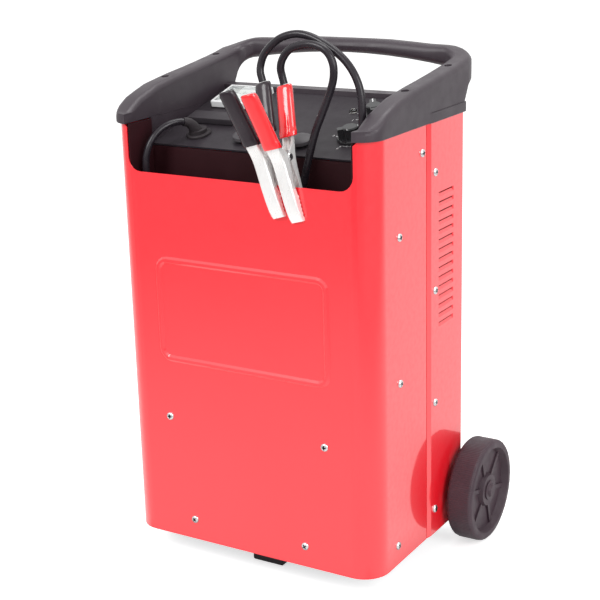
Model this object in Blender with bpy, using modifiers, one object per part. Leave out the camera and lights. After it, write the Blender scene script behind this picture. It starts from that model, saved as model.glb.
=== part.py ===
"""Wheeled car battery charger and starter, as an assembly of its separate pieces.

Metres, +Z up, front towards -Y. Most places are given in the cabinet's frame: X from its middle plane,
Y from halfway between its front and rear faces, Z from its bottom edge. What sits on the sloping control
panel is placed in the panel's frame: X across, Y up the slope from its top edge, Z out of its face.
What belongs to a battery clamp is placed in the clamp's frame, with its origin on the pivot pin.
"""

import math

import bmesh
import bpy
import numpy as np
from mathutils import Euler, Matrix, Vector

# ---------------------------------------------------------------- general
CLEAR = 0.0003          # gap between pieces that touch
SINK = 0.0004           # how far a shape reaches into the one it is joined to
PASS = 0.004            # how far a cutter runs past a wall

# ---------------------------------------------------------------- cabinet
WIDTH = 0.334           # over the front cover's side flanges
DEPTH = 0.222           # front face to rear face
HEIGHT = 0.495          # bottom edge to the black top
SHEET = 0.0012
CORNER_R = 0.031        # front corners, outside
REAR_CORNER_R = 0.004
JOG = 0.0018            # how far the front cover's flange steps in under the rear cover
JOG_Y = 0.0155          # where it steps
JOG_RUN = 0.0012
LAP = 0.029             # how far the flange reaches under the rear cover
REAR_STEP = 0.0017      # how far the rear cover's sides stand out past the front cover's
REAR_RAMP = 0.008       # length of its slanted front margin
NOTCH_HALF = 0.1445
NOTCH_DROP = 0.0525     # cabinet's top down to the front notch's lower edge
NOTCH_R = 0.016
NOTCH_CHAMFER = 0.004
PLATE_HALF_X, PLATE_HALF_Z = 0.114, 0.063   # bead pressed round a plain field on the front
PLATE_Z = 0.284
PLATE_R = 0.016
PLATE_RAISE = 0.002
PLATE_RAMP = 0.0026
PLATE_CREST = 0.003
LOUVRE_COUNT = 15
LOUVRE_LENGTH = 0.040
LOUVRE_DROP = 0.0829    # cabinet's top down to the first louvre's slit
LOUVRE_PITCH = 0.0109
LOUVRE_Y = 0.0637       # middle of the louvres
LOUVRE_HEIGHT = 0.0040
LOUVRE_DEPTH = 0.0028   # how far each is pressed in at its slit
LOUVRE_SLOPE = 0.0040   # length of its slanted ends
LOUVRE_SLIT = 0.0022
REAR_CUT_Z = 0.052      # the rear panel ends above the axle
REAR_CUT_LENGTH = 0.016

# ---------------------------------------------------------------- base, axle, wheels, foot
BASE_SHEET = 0.0015
BASE_WALL = 0.020
BASE_REAR_WALL = 0.060
AXLE_Y = 0.113
AXLE_Z = 0.032
AXLE_R = 0.006
BRACKET_X = 0.140
BRACKET_SHEET = 0.003
BRACKET_HEIGHT = 0.030
BRACKET_WIDTH = 0.026
WHEEL_R = 0.0625
WHEEL_WIDTH = 0.0325
WHEEL_GAP = 0.0065      # cabinet side to wheel
WHEEL_STEPS = 36
TREAD_EDGE_R = 0.0048
RIM_R = 0.0530          # inside of the rim lip
RIM_SLOPE = 0.004
HUB_R = 0.0210
HUB_DROP = 0.003        # the hub stays this far inside the rim
DISH = 0.0085           # depth of the dish in each face
RIB_COUNT = 6
RIB_THICKNESS = 0.0050
RIB_DROP = 0.0062       # so do the ribs
BORE_CLEAR = 0.0001      # running clearance round a shaft
CAP_R = 0.0120
CAP_THICKNESS = 0.0035
FOOT_X, FOOT_Y = 0.042, 0.035
FOOT_FRONT = 0.0375     # from the front face to the foot

# ---------------------------------------------------------------- black top
RAIL_WIDTH = 0.0254
RAIL_OUTSET = 0.001     # rail's outside past the rear cover's side
TOP_CORNER_R = 0.027    # front corners of the rails and the band
BAND_HEIGHT = 0.011
BAND_WALL = 0.003
BAND_OUTSET = 0.002     # how far it stands out past the covers
BAND_BACK = 0.004       # and behind the rear cover
SKIRT_DEPTH = 0.042     # inner walls that reach down beside the control panel
HANDLE_Y = 0.1485       # middle of the handle bar
HANDLE_CORNER_R = 0.028
BAR_WIDTH = 0.024
BAR_ROUND = 0.0082
RAIL_ROUND = 0.007
# Height of the rail's and the bar's crest and underside above the cabinet, along their middle line.
CREST = ((-0.113, 0.008), (-0.096, 0.0168), (-0.078, 0.0265), (-0.045, 0.0360), (-0.005, 0.0420),
         (0.045, 0.0475), (0.100, 0.0550), (0.122, 0.0595))
CORNER_CREST, BAR_CREST = 0.0690, 0.0732
RAIL_STATIONS = (-0.1120, -0.1105, -0.1075, -0.103, -0.097, -0.090, -0.080, -0.063, -0.045, -0.022, 0.0,
                 0.030, 0.060, 0.084)      # Y of its sections
HOLLOW_STATIONS = (-0.045, 0.0, 0.050)
UNDER_START, UNDER_END = 0.104, 0.0285    # underside rises from y = START to this height at the corner
CORNER_UNDER, BAR_UNDER = 0.0455, 0.0563
BAR_EASE = 0.085        # the bar reaches its full height this far before the middle line's end
LEDGE_Y = 0.0895        # front of the rear ledge
LEDGE_TOP = 0.018
LEDGE_THICKNESS = 0.007
REAR_WALL = 0.003
RAIL_SHELL = 0.003
RAIL_SCREWS_Y = (-0.015, 0.092)
RAIL_SCREW_R, RAIL_SCREW_DEPTH = 0.0046, 0.009

# ---------------------------------------------------------------- storage well
WELL_WALL = 0.002
WELL_DEPTH = 0.260      # cabinet's top down to the well's underside
WELL_REAR_Y = -0.0637
WELL_FRONT_DROP = 0.0035   # its front wall ends this far under the notch
WELL_REAR_DROP = 0.0315    # and its rear wall this far under the cabinet's top
GROMMET_R, GROMMET_FLANGE_R = 0.006, 0.0085
GROMMET_FLANGE = 0.0025

# ---------------------------------------------------------------- control panel
PANEL_SHEET = 0.002
PANEL_TOP_Y, PANEL_TOP_RISE = 0.088, 0.0125      # upper edge, above the cabinet's top
PANEL_FRONT_Y, PANEL_FRONT_DROP = -0.064, 0.029  # lower edge, under it
METER_X, METER_V = -0.098, 0.030
METER_WIDTH, METER_HEIGHT = 0.060, 0.050
METER_BEZEL = 0.009
METER_RIM = 0.003
METER_POCKET = 0.006
METER_BARREL_R, METER_BARREL = 0.020, 0.024
DIAL_SHEET = 0.0006
WINDOW_SHEET = 0.0012
PIVOT_DROP = 0.0165     # needle pivot below the meter's middle
NEEDLE_LENGTH, NEEDLE_WIDTH, NEEDLE_SHEET = 0.029, 0.0009, 0.0005
NEEDLE_HUB_R, NEEDLE_HUB = 0.0022, 0.0018
NEEDLE_REST = 45.0      # degrees to the left of the meter's middle line
FUSE_X, FUSE_V = -0.101, 0.090
FUSE_SIZE = (0.063, 0.021, 0.008)
GLAND_X, GLAND_V = -0.099, 0.127
GLAND_FLANGE_R, GLAND_FLANGE = 0.0145, 0.003
GLAND_BODY_R, GLAND_BODY = 0.0105, 0.004
GLAND_BOOT = 6          # length of its bent boot, in steps of the lead's path
GLAND_BOOT_R, GLAND_TIP_R = 0.0074, 0.0050
GLAND_LEAN = 50.0       # degrees above level at which the boot leaves
GLAND_STEM_R, GLAND_STEM = 0.009, 0.008
LAMP_X, LAMP_V = 0.0585, 0.040
LAMP_R, LAMP_STEM_R, LAMP_STEM = 0.0048, 0.0035, 0.012
BUTTON_V = 0.130
BUTTON_X = {"left": -0.033, "right": 0.0395}
BUTTON_R, BUTTON_THICKNESS, BUTTON_DOME = 0.0145, 0.0035, 0.004
BUTTON_STEM_R, BUTTON_STEM = 0.005, 0.006
BUTTON_TRAVEL = 0.003
BREAKER_SIZE = (0.022, 0.030, 0.032)
SELECTOR = {"mode": (0.091, 0.049), "rate": (0.092, 0.108)}      # x, v
POINTER_ANGLE = {"mode": 30.0, "rate": -55.0}
KNOB_SKIRT_R, KNOB_SKIRT = 0.0165, 0.0035
KNOB_R, KNOB_HEIGHT = 0.0090, 0.0155
POINTER_LENGTH, POINTER_WIDTH = 0.034, 0.0075
SPINDLE_R, SPINDLE = 0.003, 0.009
SWITCH_SIZE = (0.042, 0.042, 0.040)

# ---------------------------------------------------------------- transformer and rectifier
CORE_X, CORE_Y = -0.020, 0.012
CORE_WIDTH, CORE_HEIGHT, CORE_STACK = 0.168, 0.140, 0.076
LIMB = 0.028            # outer limbs and yokes; the middle limb is twice as wide
BOBBIN_WALL = 0.0018
PRIMARY_BUILD = 0.0105
SECONDARY_BUILD = 0.0105
CORE_BRACKET_SHEET = 0.003
CORE_BRACKET_FOOT = 0.018
SINK_X = 0.115
SINK_LENGTH, SINK_HEIGHT, SINK_BASE = 0.100, 0.110, 0.006
FIN_COUNT, FIN_DEPTH, FIN_SHEET = 7, 0.022, 0.0025
DIODE_R, DIODE_BODY, DIODE_STUD_R, DIODE_STUD = 0.012, 0.012, 0.004, 0.010
DIODE_SPREAD = 0.045

# ---------------------------------------------------------------- battery clamps
CLAMP_TILT = {"black": 16.6, "red": 15.0}       # degrees, tops towards -X
CLAMP_X = {"black": 0.0366, "red": 0.0616}
CLAMP_RISE = {"black": 0.0320, "red": 0.0300}   # pin above the notch's lower edge
ARM_SHEET = 0.0013
ARM_WIDTH = 0.0155      # over the front arm; the rear arm fits inside it
JAW_LENGTH, HANDLE_LENGTH = 0.069, 0.070
EAR_R = 0.0045
CLAMP_PIN_R, PIN_HEAD_R, PIN_HEAD = 0.0025, 0.0042, 0.0012
TOOTH, TOOTH_PITCH, TOOTH_COUNT = 0.0015, 0.0045, 6
ARM_DEPTH = 0.0065      # depth of the handle's channel
SLEEVE_HALF_X, SLEEVE_HALF_Y = 0.0100, 0.0065
SLEEVE_START = {"front": 0.012, "rear": 0.020}   # lower end of each sleeve above the pin
SLEEVE_CAP = 0.004
HANDLE_FOOT_Z = 0.012   # where the handle's straight part starts
HANDLE_FOOT_Y, HANDLE_END_Y = 0.0159, 0.0345     # arm's middle line there and at its end
ARM_ROUND = 0.0022      # long edges of an arm's back
SPRING_WIRE_R, SPRING_R, SPRING_TURNS = 0.0009, 0.0052, 3

# ---------------------------------------------------------------- leads
LEAD_R = 0.00425
MAINS_R = 0.0040
LEAD_STEP = 2.0         # points along a lead, in diameters
COIL_PITCH = 0.0006     # free gap between neighbouring turns
COIL_POINTS = 24
LEAD_COIL_R, MAINS_COIL_R = 0.056, 0.058
LEAD_COIL_X, MAINS_COIL_X = 0.070, -0.076
LEAD_TURNS, MAINS_TURNS = 4.0, 5.5
PLUG_BODY_R, PLUG_BODY = 0.0185, 0.045
PLUG_PIN_R, PLUG_PIN, PLUG_PIN_SPREAD = 0.0024, 0.019, 0.0095
PLUG_BEND_R = 0.030

# ---------------------------------------------------------------- worked out
SIDE = WIDTH / 2
FRONT = -DEPTH / 2
NOTCH_Z = HEIGHT - NOTCH_DROP
LOUVRE_TOP_Z = HEIGHT - LOUVRE_DROP
WELL_FLOOR_Z = HEIGHT - WELL_DEPTH
WELL_REAR_Z = HEIGHT - WELL_REAR_DROP
PANEL_TOP_Z = HEIGHT + PANEL_TOP_RISE
PANEL_FRONT_Z = HEIGHT - PANEL_FRONT_DROP
REAR = DEPTH / 2
REAR_SIDE = SIDE + REAR_STEP
LAP_END = JOG_Y + LAP
RAMP_START = JOG_Y + JOG_RUN + CLEAR
CABINET_Z = WHEEL_R - AXLE_Z
WHEEL_IN = REAR_SIDE + WHEEL_GAP
WHEEL_OUT = WHEEL_IN + WHEEL_WIDTH
CAP_IN = WHEEL_OUT - HUB_DROP + CLEAR
CABINET_Y = -(AXLE_Y + WHEEL_R + FRONT - PLATE_RAISE) / 2    # puts the footprint's middle at Y = 0
FLOOR = -CABINET_Z
BASE_SIDE = SIDE - JOG - SHEET - CLEAR
BASE_FRONT = FRONT + SHEET + CLEAR
BASE_REAR = AXLE_Y - AXLE_R - 2 * CLEAR
RAIL_OUT = REAR_SIDE + RAIL_OUTSET
RAIL_IN = RAIL_OUT - RAIL_WIDTH
RAIL_X = (RAIL_OUT + RAIL_IN) / 2
TOP = HEIGHT + CLEAR
WELL_SIDE = RAIL_IN - CLEAR
WELL_FRONT = FRONT + SHEET + 2 * CLEAR
PANEL_SLOPE = math.atan2(PANEL_TOP_Z - PANEL_FRONT_Z, PANEL_TOP_Y - PANEL_FRONT_Y)
PANEL_LENGTH = math.hypot(PANEL_TOP_Z - PANEL_FRONT_Z, PANEL_TOP_Y - PANEL_FRONT_Y)
CLAMP_Y = (FRONT + WELL_FRONT + WELL_WALL) / 2
GRIPPED = (WELL_FRONT + WELL_WALL - FRONT) / 2               # half of what the jaws hold
WELL_INSIDE_Z = WELL_FLOOR_Z + WELL_WALL

parts = None
cutters = None


# ================================================================ helpers
def clear_scene():
    for thing in list(bpy.data.objects):
        bpy.data.objects.remove(thing, do_unlink=True)


def new_collection(name):
    collection = bpy.data.collections.new(name)
    bpy.context.scene.collection.children.link(collection)
    return collection


def surface(name, colour, roughness, metallic=0.0):
    material = bpy.data.materials.new(name)
    material.use_nodes = True
    shader = material.node_tree.nodes["Principled BSDF"]
    shader.inputs["Base Color"].default_value = (*colour, 1.0)
    shader.inputs["Roughness"].default_value = roughness
    shader.inputs["Metallic"].default_value = metallic
    return material


def empty(name, location, rotation=(0, 0, 0), parent=None):
    holder = bpy.data.objects.new(name, None)
    holder.location = location
    holder.rotation_euler = rotation
    holder.parent = parent
    parts.objects.link(holder)
    return holder


def place(obj, parent, material=None, location=(0, 0, 0), rotation=(0, 0, 0)):
    """Makes obj a piece of the object, under a parent empty."""
    for collection in list(obj.users_collection):
        collection.objects.unlink(obj)
    parts.objects.link(obj)
    obj.parent = parent
    obj.location = location
    obj.rotation_euler = rotation
    if material:
        obj.data.materials.clear()
        obj.data.materials.append(material)
    return obj


def helper(obj, parent):
    """Makes obj a cutter or a shape to join, which isn't a piece itself."""
    for collection in list(obj.users_collection):
        collection.objects.unlink(obj)
    cutters.objects.link(obj)
    obj.parent = parent
    obj.hide_render = True
    obj.display_type = "WIRE"
    return obj


def mesh_object(name, bm):
    bmesh.ops.recalc_face_normals(bm, faces=bm.faces)
    mesh = bpy.data.meshes.new(name)
    bm.to_mesh(mesh)
    bm.free()
    obj = bpy.data.objects.new(name, mesh)
    parts.objects.link(obj)
    return obj


def smooth(obj, angle=35.0):
    obj.data.shade_smooth()
    obj.data.set_sharp_from_angle(angle=math.radians(angle))
    return obj


def box(name, low, high):
    """A box between two corners."""
    low, high = Vector(low), Vector(high)
    bm = bmesh.new()
    bmesh.ops.create_cube(bm, size=1.0)
    bmesh.ops.scale(bm, vec=high - low, verts=bm.verts)
    bmesh.ops.translate(bm, vec=(low + high) / 2, verts=bm.verts)
    return mesh_object(name, bm)


def cylinder(name, radius, start, end, steps=24, end_radius=None):
    """A cylinder or cone from one point to another."""
    start, end = Vector(start), Vector(end)
    along = end - start
    bm = bmesh.new()
    bmesh.ops.create_cone(bm, cap_ends=True, segments=steps, radius1=radius,
                          radius2=radius if end_radius is None else end_radius, depth=along.length)
    turn = along.to_track_quat("Z", "Y").to_matrix().to_4x4()
    bmesh.ops.transform(bm, matrix=Matrix.Translation((start + end) / 2) @ turn, verts=bm.verts)
    return mesh_object(name, bm)


def boxes(name, corners):
    """Several separate boxes in one mesh, for use as a cutter or a joined shape."""
    bm = bmesh.new()
    for low, high in corners:
        low, high = Vector(low), Vector(high)
        made = bmesh.ops.create_cube(bm, size=1.0)["verts"]
        bmesh.ops.scale(bm, vec=high - low, verts=made)
        bmesh.ops.translate(bm, vec=(low + high) / 2, verts=made)
    return mesh_object(name, bm)


def loft(name, rings, capped=True, closed_start=True, closed_end=True):
    """A skin through rings of equally many points."""
    bm = bmesh.new()
    rows = [[bm.verts.new(point) for point in ring] for ring in rings]
    count = len(rings[0])
    for row, after in zip(rows, rows[1:]):
        for i in range(count):
            j = (i + 1) % count
            bm.faces.new((row[i], row[j], after[j], after[i]))
    if capped and closed_start:
        bm.faces.new(rows[0])
    if capped and closed_end:
        bm.faces.new(rows[-1])
    return mesh_object(name, bm)


def prism(name, outline, low, high, axis):
    """An outline extruded along X, Y or Z. Its points are the other two coordinates in X, Y, Z order."""
    def lift(point, depth):
        at = list(point)
        at.insert("XYZ".index(axis), depth)
        return at
    return loft(name, [[lift(p, low) for p in outline], [lift(p, high) for p in outline]])


def turned(name, profile, steps=24, axis="Z"):
    """A profile of (radius, height) points, from its top on the axis down to its bottom on the axis, turned."""
    bm = bmesh.new()
    verts = [bm.verts.new((r, 0, h)) for r, h in profile]
    for a, b in zip(verts, verts[1:]):
        bm.edges.new((a, b))
    mesh = bpy.data.meshes.new(name)
    bm.to_mesh(mesh)
    bm.free()
    obj = bpy.data.objects.new(name, mesh)
    parts.objects.link(obj)
    screw = obj.modifiers.new("turn", "SCREW")
    screw.axis = axis
    screw.steps = screw.render_steps = steps
    screw.use_merge_vertices = True
    screw.merge_threshold = 0.00001
    screw.use_smooth_shade = True
    return obj


def modify(obj, kind, other=None, **settings):
    modifier = obj.modifiers.new(kind.lower(), kind)
    if kind == "BOOLEAN":
        modifier.solver = "EXACT"
        modifier.object = other
    for key, value in settings.items():
        setattr(modifier, key, value)
    return modifier


def cut(obj, cutter, parent):
    modify(obj, "BOOLEAN", helper(cutter, parent), operation="DIFFERENCE")


def join(obj, other, parent):
    modify(obj, "BOOLEAN", helper(other, parent), operation="UNION")


def bevel(obj, width, segments=2, angle=40.0):
    modify(obj, "BEVEL", width=width, segments=segments, limit_method="ANGLE",
           angle_limit=math.radians(angle), use_clamp_overlap=True)


def arc(centre, radius, start, end, steps):
    """Points on an arc in a plane, angles in degrees, both ends included."""
    angles = np.radians(np.linspace(start, end, steps + 1))
    return [(centre[0] + radius * math.cos(a), centre[1] + radius * math.sin(a)) for a in angles]


def rounded_rectangle(half_x, half_z, radius, steps=4):
    points = []
    for sx, sz, start in ((1, 1, 0), (-1, 1, 90), (-1, -1, 180), (1, -1, 270)):
        centre = (sx * (half_x - radius), sz * (half_z - radius))
        points += arc(centre, radius, start, start + 90, steps)
    return points


def smooth_route(points, step):
    """Evenly spaced points on a smooth curve through the given ones. The first and last stretch stay straight."""
    given = [Vector(p) for p in points]
    fine = []
    for a, b, c, d in zip(given, given[1:], given[2:], given[3:]):
        for i in range(12):
            t = i / 12
            fine.append(0.5 * ((2 * b) + (c - a) * t + (2 * a - 5 * b + 4 * c - d) * t ** 2
                               + (3 * b - a - 3 * c + d) * t ** 3))
    fine.append(given[-2])
    lengths = [0.0]
    for a, b in zip(fine, fine[1:]):
        lengths.append(lengths[-1] + (b - a).length)
    count = max(2, round(lengths[-1] / step))
    wanted = np.linspace(0, lengths[-1], count + 1)
    table = np.array([tuple(p) for p in fine])
    inner = [Vector(np.interp(w, lengths, table[:, k]) for k in range(3)) for w in wanted]
    return [given[0]] + inner + [given[-1]]


def tube(name, points, radius, resolution=2):
    """A round bar or cord along points."""
    data = bpy.data.curves.new(name, "CURVE")
    data.dimensions = "3D"
    data.twist_mode = "MINIMUM"
    spline = data.splines.new("POLY")
    spline.points.add(len(points) - 1)
    for slot, point in zip(spline.points, points):
        slot.co = (*point, 1.0)
    data.bevel_depth = radius
    data.bevel_resolution = resolution
    data.use_fill_caps = True
    obj = bpy.data.objects.new(name, data)
    parts.objects.link(obj)
    return obj


def length_of(points):
    return sum((Vector(b) - Vector(a)).length for a, b in zip(points, points[1:]))


def on_panel(x, v, out=0.0):
    """A place on the control panel, v down the slope from its top edge."""
    return (x, -v, out)


def panel_to_cabinet(x, v, out):
    s, c = math.sin(PANEL_SLOPE), math.cos(PANEL_SLOPE)
    return Vector((x, PANEL_TOP_Y - v * c - out * s, PANEL_TOP_Z - v * s + out * c))


# ================================================================ covers
def strip(name, path, low, high, thickness):
    """A sheet bent along a path in plan. The path runs anticlockwise seen from above, outside on its right."""
    bm = bmesh.new()
    under = [bm.verts.new((x, y, low)) for x, y in path]
    over = [bm.verts.new((x, y, high)) for x, y in path]
    for i in range(len(path) - 1):
        bm.faces.new((under[i], under[i + 1], over[i + 1], over[i]))
    mesh = bpy.data.meshes.new(name)
    bm.to_mesh(mesh)
    bm.free()
    obj = bpy.data.objects.new(name, mesh)
    parts.objects.link(obj)
    modify(obj, "SOLIDIFY", thickness=thickness, offset=-1.0, use_even_offset=True)
    return obj


def front_path():
    """The front cover's outside in plan, from its left flange's end round the front to the right one's."""
    right = arc((SIDE - CORNER_R, FRONT + CORNER_R), CORNER_R, -90, 0, 8)
    right += [(SIDE, JOG_Y), (SIDE - JOG, JOG_Y + JOG_RUN), (SIDE - JOG, LAP_END)]
    left = [(-x, y) for x, y in reversed(right)]
    return left + right


def rear_path():
    """The rear cover's outside in plan, from the right margin round the back to the left one."""
    right = [(SIDE - CLEAR / 2, RAMP_START), (REAR_SIDE, RAMP_START + REAR_RAMP)]
    right += arc((REAR_SIDE - REAR_CORNER_R, REAR - REAR_CORNER_R), REAR_CORNER_R, 0, 90, 4)
    left = [(-x, y) for x, y in reversed(right)]
    return right + left


def notch_outline():
    """Half of the notch in the front cover, then mirrored, as X and Z."""
    right = arc((NOTCH_HALF - NOTCH_R, NOTCH_Z + NOTCH_R), NOTCH_R, -90, 0, 5)
    right += [(NOTCH_HALF, HEIGHT - NOTCH_CHAMFER), (NOTCH_HALF + NOTCH_CHAMFER, HEIGHT)]
    right += [(NOTCH_HALF + NOTCH_CHAMFER, HEIGHT + PASS)]
    return [(-x, z) for x, z in reversed(right)] + right


def plate_rings(shift, reach):
    """Rings of the raised plate from behind the sheet to its face, moved back by shift."""
    wide = rounded_rectangle(PLATE_HALF_X, PLATE_HALF_Z, PLATE_R)
    narrow = rounded_rectangle(PLATE_HALF_X - PLATE_RAMP, PLATE_HALF_Z - PLATE_RAMP, PLATE_R - PLATE_RAMP)
    levels = ((wide, FRONT + reach), (wide, FRONT + shift), (narrow, FRONT + shift - PLATE_RAISE))
    return [[(x, y, PLATE_Z + z) for x, z in outline] for outline, y in levels]


def field_rings(shift, reach):
    """The field inside the bead, which goes back to the cover's own face."""
    crest = PLATE_RAMP + PLATE_CREST
    foot = crest + PLATE_RAMP
    wide = rounded_rectangle(PLATE_HALF_X - crest, PLATE_HALF_Z - crest, PLATE_R - crest)
    narrow = rounded_rectangle(PLATE_HALF_X - foot, PLATE_HALF_Z - foot, PLATE_R - foot)
    top = FRONT - PLATE_RAISE
    levels = ((wide, top + reach), (wide, top + shift), (narrow, FRONT + shift))
    return [[(x, y, PLATE_Z + z) for x, z in outline] for outline, y in levels]


def make_front_cover(cabinet, red):
    cover = place(strip("front_cover", front_path(), 0, HEIGHT, SHEET), cabinet, red)
    notch = prism("notch_cutter", notch_outline(), FRONT - PASS, FRONT + CORNER_R, "Y")
    cut(cover, notch, cabinet)
    join(cover, loft("plate_front", plate_rings(0, SHEET / 2)), cabinet)
    cut(cover, loft("plate_back_cutter", plate_rings(SHEET, SHEET + PASS)), cabinet)
    join(cover, loft("field_back", field_rings(SHEET, SHEET / 2)), cabinet)
    cut(cover, loft("field_front_cutter", field_rings(0, -PASS)), cabinet)


def louvre_wedges(name, outside, deep, grow, slit):
    """Wedges for the louvres on both sides, deepest at their slits, between two distances from the middle."""
    bm = bmesh.new()
    for side in (-1, 1):
        for i in range(LOUVRE_COUNT):
            top = LOUVRE_TOP_Z - i * LOUVRE_PITCH
            high, low = top + slit, top - LOUVRE_HEIGHT - grow
            half = LOUVRE_LENGTH / 2 + grow
            shape = [(outside, -half, high), (outside, half, high), (outside, half, low), (outside, -half, low),
                     (deep, -half + LOUVRE_SLOPE, high), (deep, half - LOUVRE_SLOPE, high)]
            made = [bm.verts.new((side * x, LOUVRE_Y + y, z)) for x, y, z in shape]
            for face in ((0, 1, 2, 3), (0, 1, 5, 4), (3, 2, 5, 4), (0, 3, 4), (1, 5, 2)):
                bm.faces.new([made[k] for k in face])
    return mesh_object(name, bm)


def make_rear_cover(cabinet, red):
    cover = place(strip("rear_cover", rear_path(), 0, HEIGHT, SHEET), cabinet, red)
    cut(cover, box("axle_cutter", (-WIDTH, REAR - REAR_CUT_LENGTH, -PASS), (WIDTH, REAR + PASS, REAR_CUT_Z)),
        cabinet)
    inside = REAR_SIDE - SHEET
    join(cover, louvre_wedges("louvre_backs", inside + SHEET / 2, inside - LOUVRE_DEPTH, SHEET / 2, 0), cabinet)
    deep = REAR_SIDE - LOUVRE_DEPTH
    cut(cover, louvre_wedges("louvre_hollows", REAR_SIDE + SINK, deep, 0, LOUVRE_SLIT), cabinet)


# ================================================================ base, axle, wheels and foot
def base_outline(inset):
    """The base plate in plan, drawn in by inset."""
    radius = CORNER_R - SHEET - CLEAR
    side, front, rear = BASE_SIDE - inset, BASE_FRONT + inset, BASE_REAR - inset
    right = arc((side - radius + inset, front + radius - inset), radius - inset, -90, 0, 5)
    right += [(side, rear)]
    return right + [(-x, y) for x, y in reversed(right)]


def make_base(cabinet, steel):
    base = place(prism("base_plate", base_outline(0), 0, BASE_REAR_WALL, "Z"), cabinet, steel)
    inside = prism("base_inside", base_outline(BASE_SHEET), BASE_SHEET, BASE_REAR_WALL + PASS, "Z")
    cut(base, inside, cabinet)
    low_wall = box("base_low_wall", (-WIDTH, -DEPTH, BASE_WALL), (WIDTH, BASE_REAR - BASE_SHEET * 2,
                                                                 BASE_REAR_WALL + PASS))
    cut(base, low_wall, cabinet)


def make_axle_bracket(cabinet, steel, name, side):
    """A flange on the base plate's rear wall, with an ear that holds the axle."""
    back = BASE_REAR + CLEAR
    low, high = AXLE_Z - BRACKET_HEIGHT / 2, REAR_CUT_Z - 3 * CLEAR
    x = side * BRACKET_X
    ear = box(name, (x - BRACKET_SHEET / 2, back, low), (x + BRACKET_SHEET / 2, AXLE_Y + 0.013, high))
    bracket = place(ear, cabinet, steel)
    flange_top = AXLE_Z + AXLE_R + 0.002
    foot = box(name + "_flange", (x - BRACKET_WIDTH / 2, back, flange_top),
               (x + BRACKET_WIDTH / 2, back + BRACKET_SHEET, high))
    join(bracket, foot, cabinet)
    hole = cylinder(name + "_hole", AXLE_R + CLEAR, (x - PASS, AXLE_Y, AXLE_Z), (x + PASS, AXLE_Y, AXLE_Z))
    cut(bracket, hole, cabinet)


def make_axle(cabinet, steel):
    reach = CAP_IN + CAP_THICKNESS * 0.6
    axle = cylinder("axle", AXLE_R, (-reach, AXLE_Y, AXLE_Z), (reach, AXLE_Y, AXLE_Z))
    smooth(place(axle, cabinet, steel))


def wheel_profile():
    """Half section of a wheel, X outwards from its inner face, as (radius, x) from the outer face down."""
    bore = AXLE_R + BORE_CLEAR
    hub, web = WHEEL_WIDTH - HUB_DROP, WHEEL_WIDTH - DISH
    outer = [(bore, hub), (HUB_R - 0.002, hub), (HUB_R, web), (RIM_R - RIM_SLOPE, web), (RIM_R, WHEEL_WIDTH)]
    outer += reversed(arc((WHEEL_R - TREAD_EDGE_R, WHEEL_WIDTH - TREAD_EDGE_R), TREAD_EDGE_R, 0, 90, 3))
    inner = [(r, WHEEL_WIDTH - x) for r, x in reversed(outer)]
    return outer + inner + [outer[0]]


def make_wheel(cabinet, plastic, name, side):
    """A moulded wheel, its origin on the axle at its inner face, built towards +Z and turned to lie along X."""
    wheel = turned(name, wheel_profile(), steps=WHEEL_STEPS)
    turn = Euler((0, math.radians(90 * side), 0))
    place(wheel, cabinet, plastic, (side * WHEEL_IN, AXLE_Y, AXLE_Z), turn)
    bm = bmesh.new()
    for i in range(RIB_COUNT):
        for face, way in ((WHEEL_WIDTH, -1), (0, 1)):
            top = face + way * RIB_DROP
            deep = face + way * (DISH + SINK)
            made = bmesh.ops.create_cube(bm, size=1.0)["verts"]
            size = (RIM_R - HUB_R + RIM_SLOPE / 4, RIB_THICKNESS, abs(top - deep))
            bmesh.ops.scale(bm, vec=size, verts=made)
            bmesh.ops.translate(bm, vec=((RIM_R + HUB_R) / 2, 0, (top + deep) / 2), verts=made)
            spin = Matrix.Rotation(2 * math.pi * (i + 0.25) / RIB_COUNT, 3, "Z")
            bmesh.ops.rotate(bm, matrix=spin, verts=made)
    ribs = mesh_object(name + "_ribs", bm)
    ribs.location, ribs.rotation_euler = wheel.location, wheel.rotation_euler
    join(wheel, ribs, cabinet)


def make_wheel_cap(cabinet, steel, name, side):
    """A push-on cap over the axle's end, outside the wheel."""
    face = CAP_IN
    end = CAP_IN + CAP_THICKNESS * 0.6 + CLEAR
    top = face + CAP_THICKNESS + 0.0015
    profile = [(0, top), (CAP_R * 0.55, top - 0.0004), (CAP_R * 0.7, face + CAP_THICKNESS * 0.5),
               (CAP_R, face + CAP_THICKNESS * 0.3), (CAP_R, face), (AXLE_R + CLEAR, face),
               (AXLE_R + CLEAR, end), (0, end)]
    cap = turned(name, profile)
    place(cap, cabinet, steel, (0, AXLE_Y, AXLE_Z), Euler((0, math.radians(90 * side), 0)))


def make_foot(cabinet, rubber):
    y = FRONT + FOOT_FRONT
    foot = box("front_foot", (-FOOT_X / 2, y, FLOOR), (FOOT_X / 2, y + FOOT_Y, -CLEAR))
    bevel(place(foot, cabinet, rubber), 0.0015, 1)


# ================================================================ black top
def eased(t):
    return t * t * (3 - 2 * t)


def rail_ring(centre, outward, inner, outer, low, high, round_top, round_low):
    """One section of the rail or the bar, as points across its middle line."""
    points = []
    steps = 3
    for u, z, radius, start in ((outer, high, round_top, 0), (-inner, high, round_top, 90),
                                (-inner, low, round_low, 180), (outer, low, round_low, 270)):
        inside = (u - radius if start in (0, 270) else u + radius, z - radius if start < 180 else z + radius)
        points += arc(inside, radius, start, start + 90, steps)
    return [(centre[0] + outward[0] * u, centre[1] + outward[1] * u, HEIGHT + z) for u, z in points]


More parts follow.
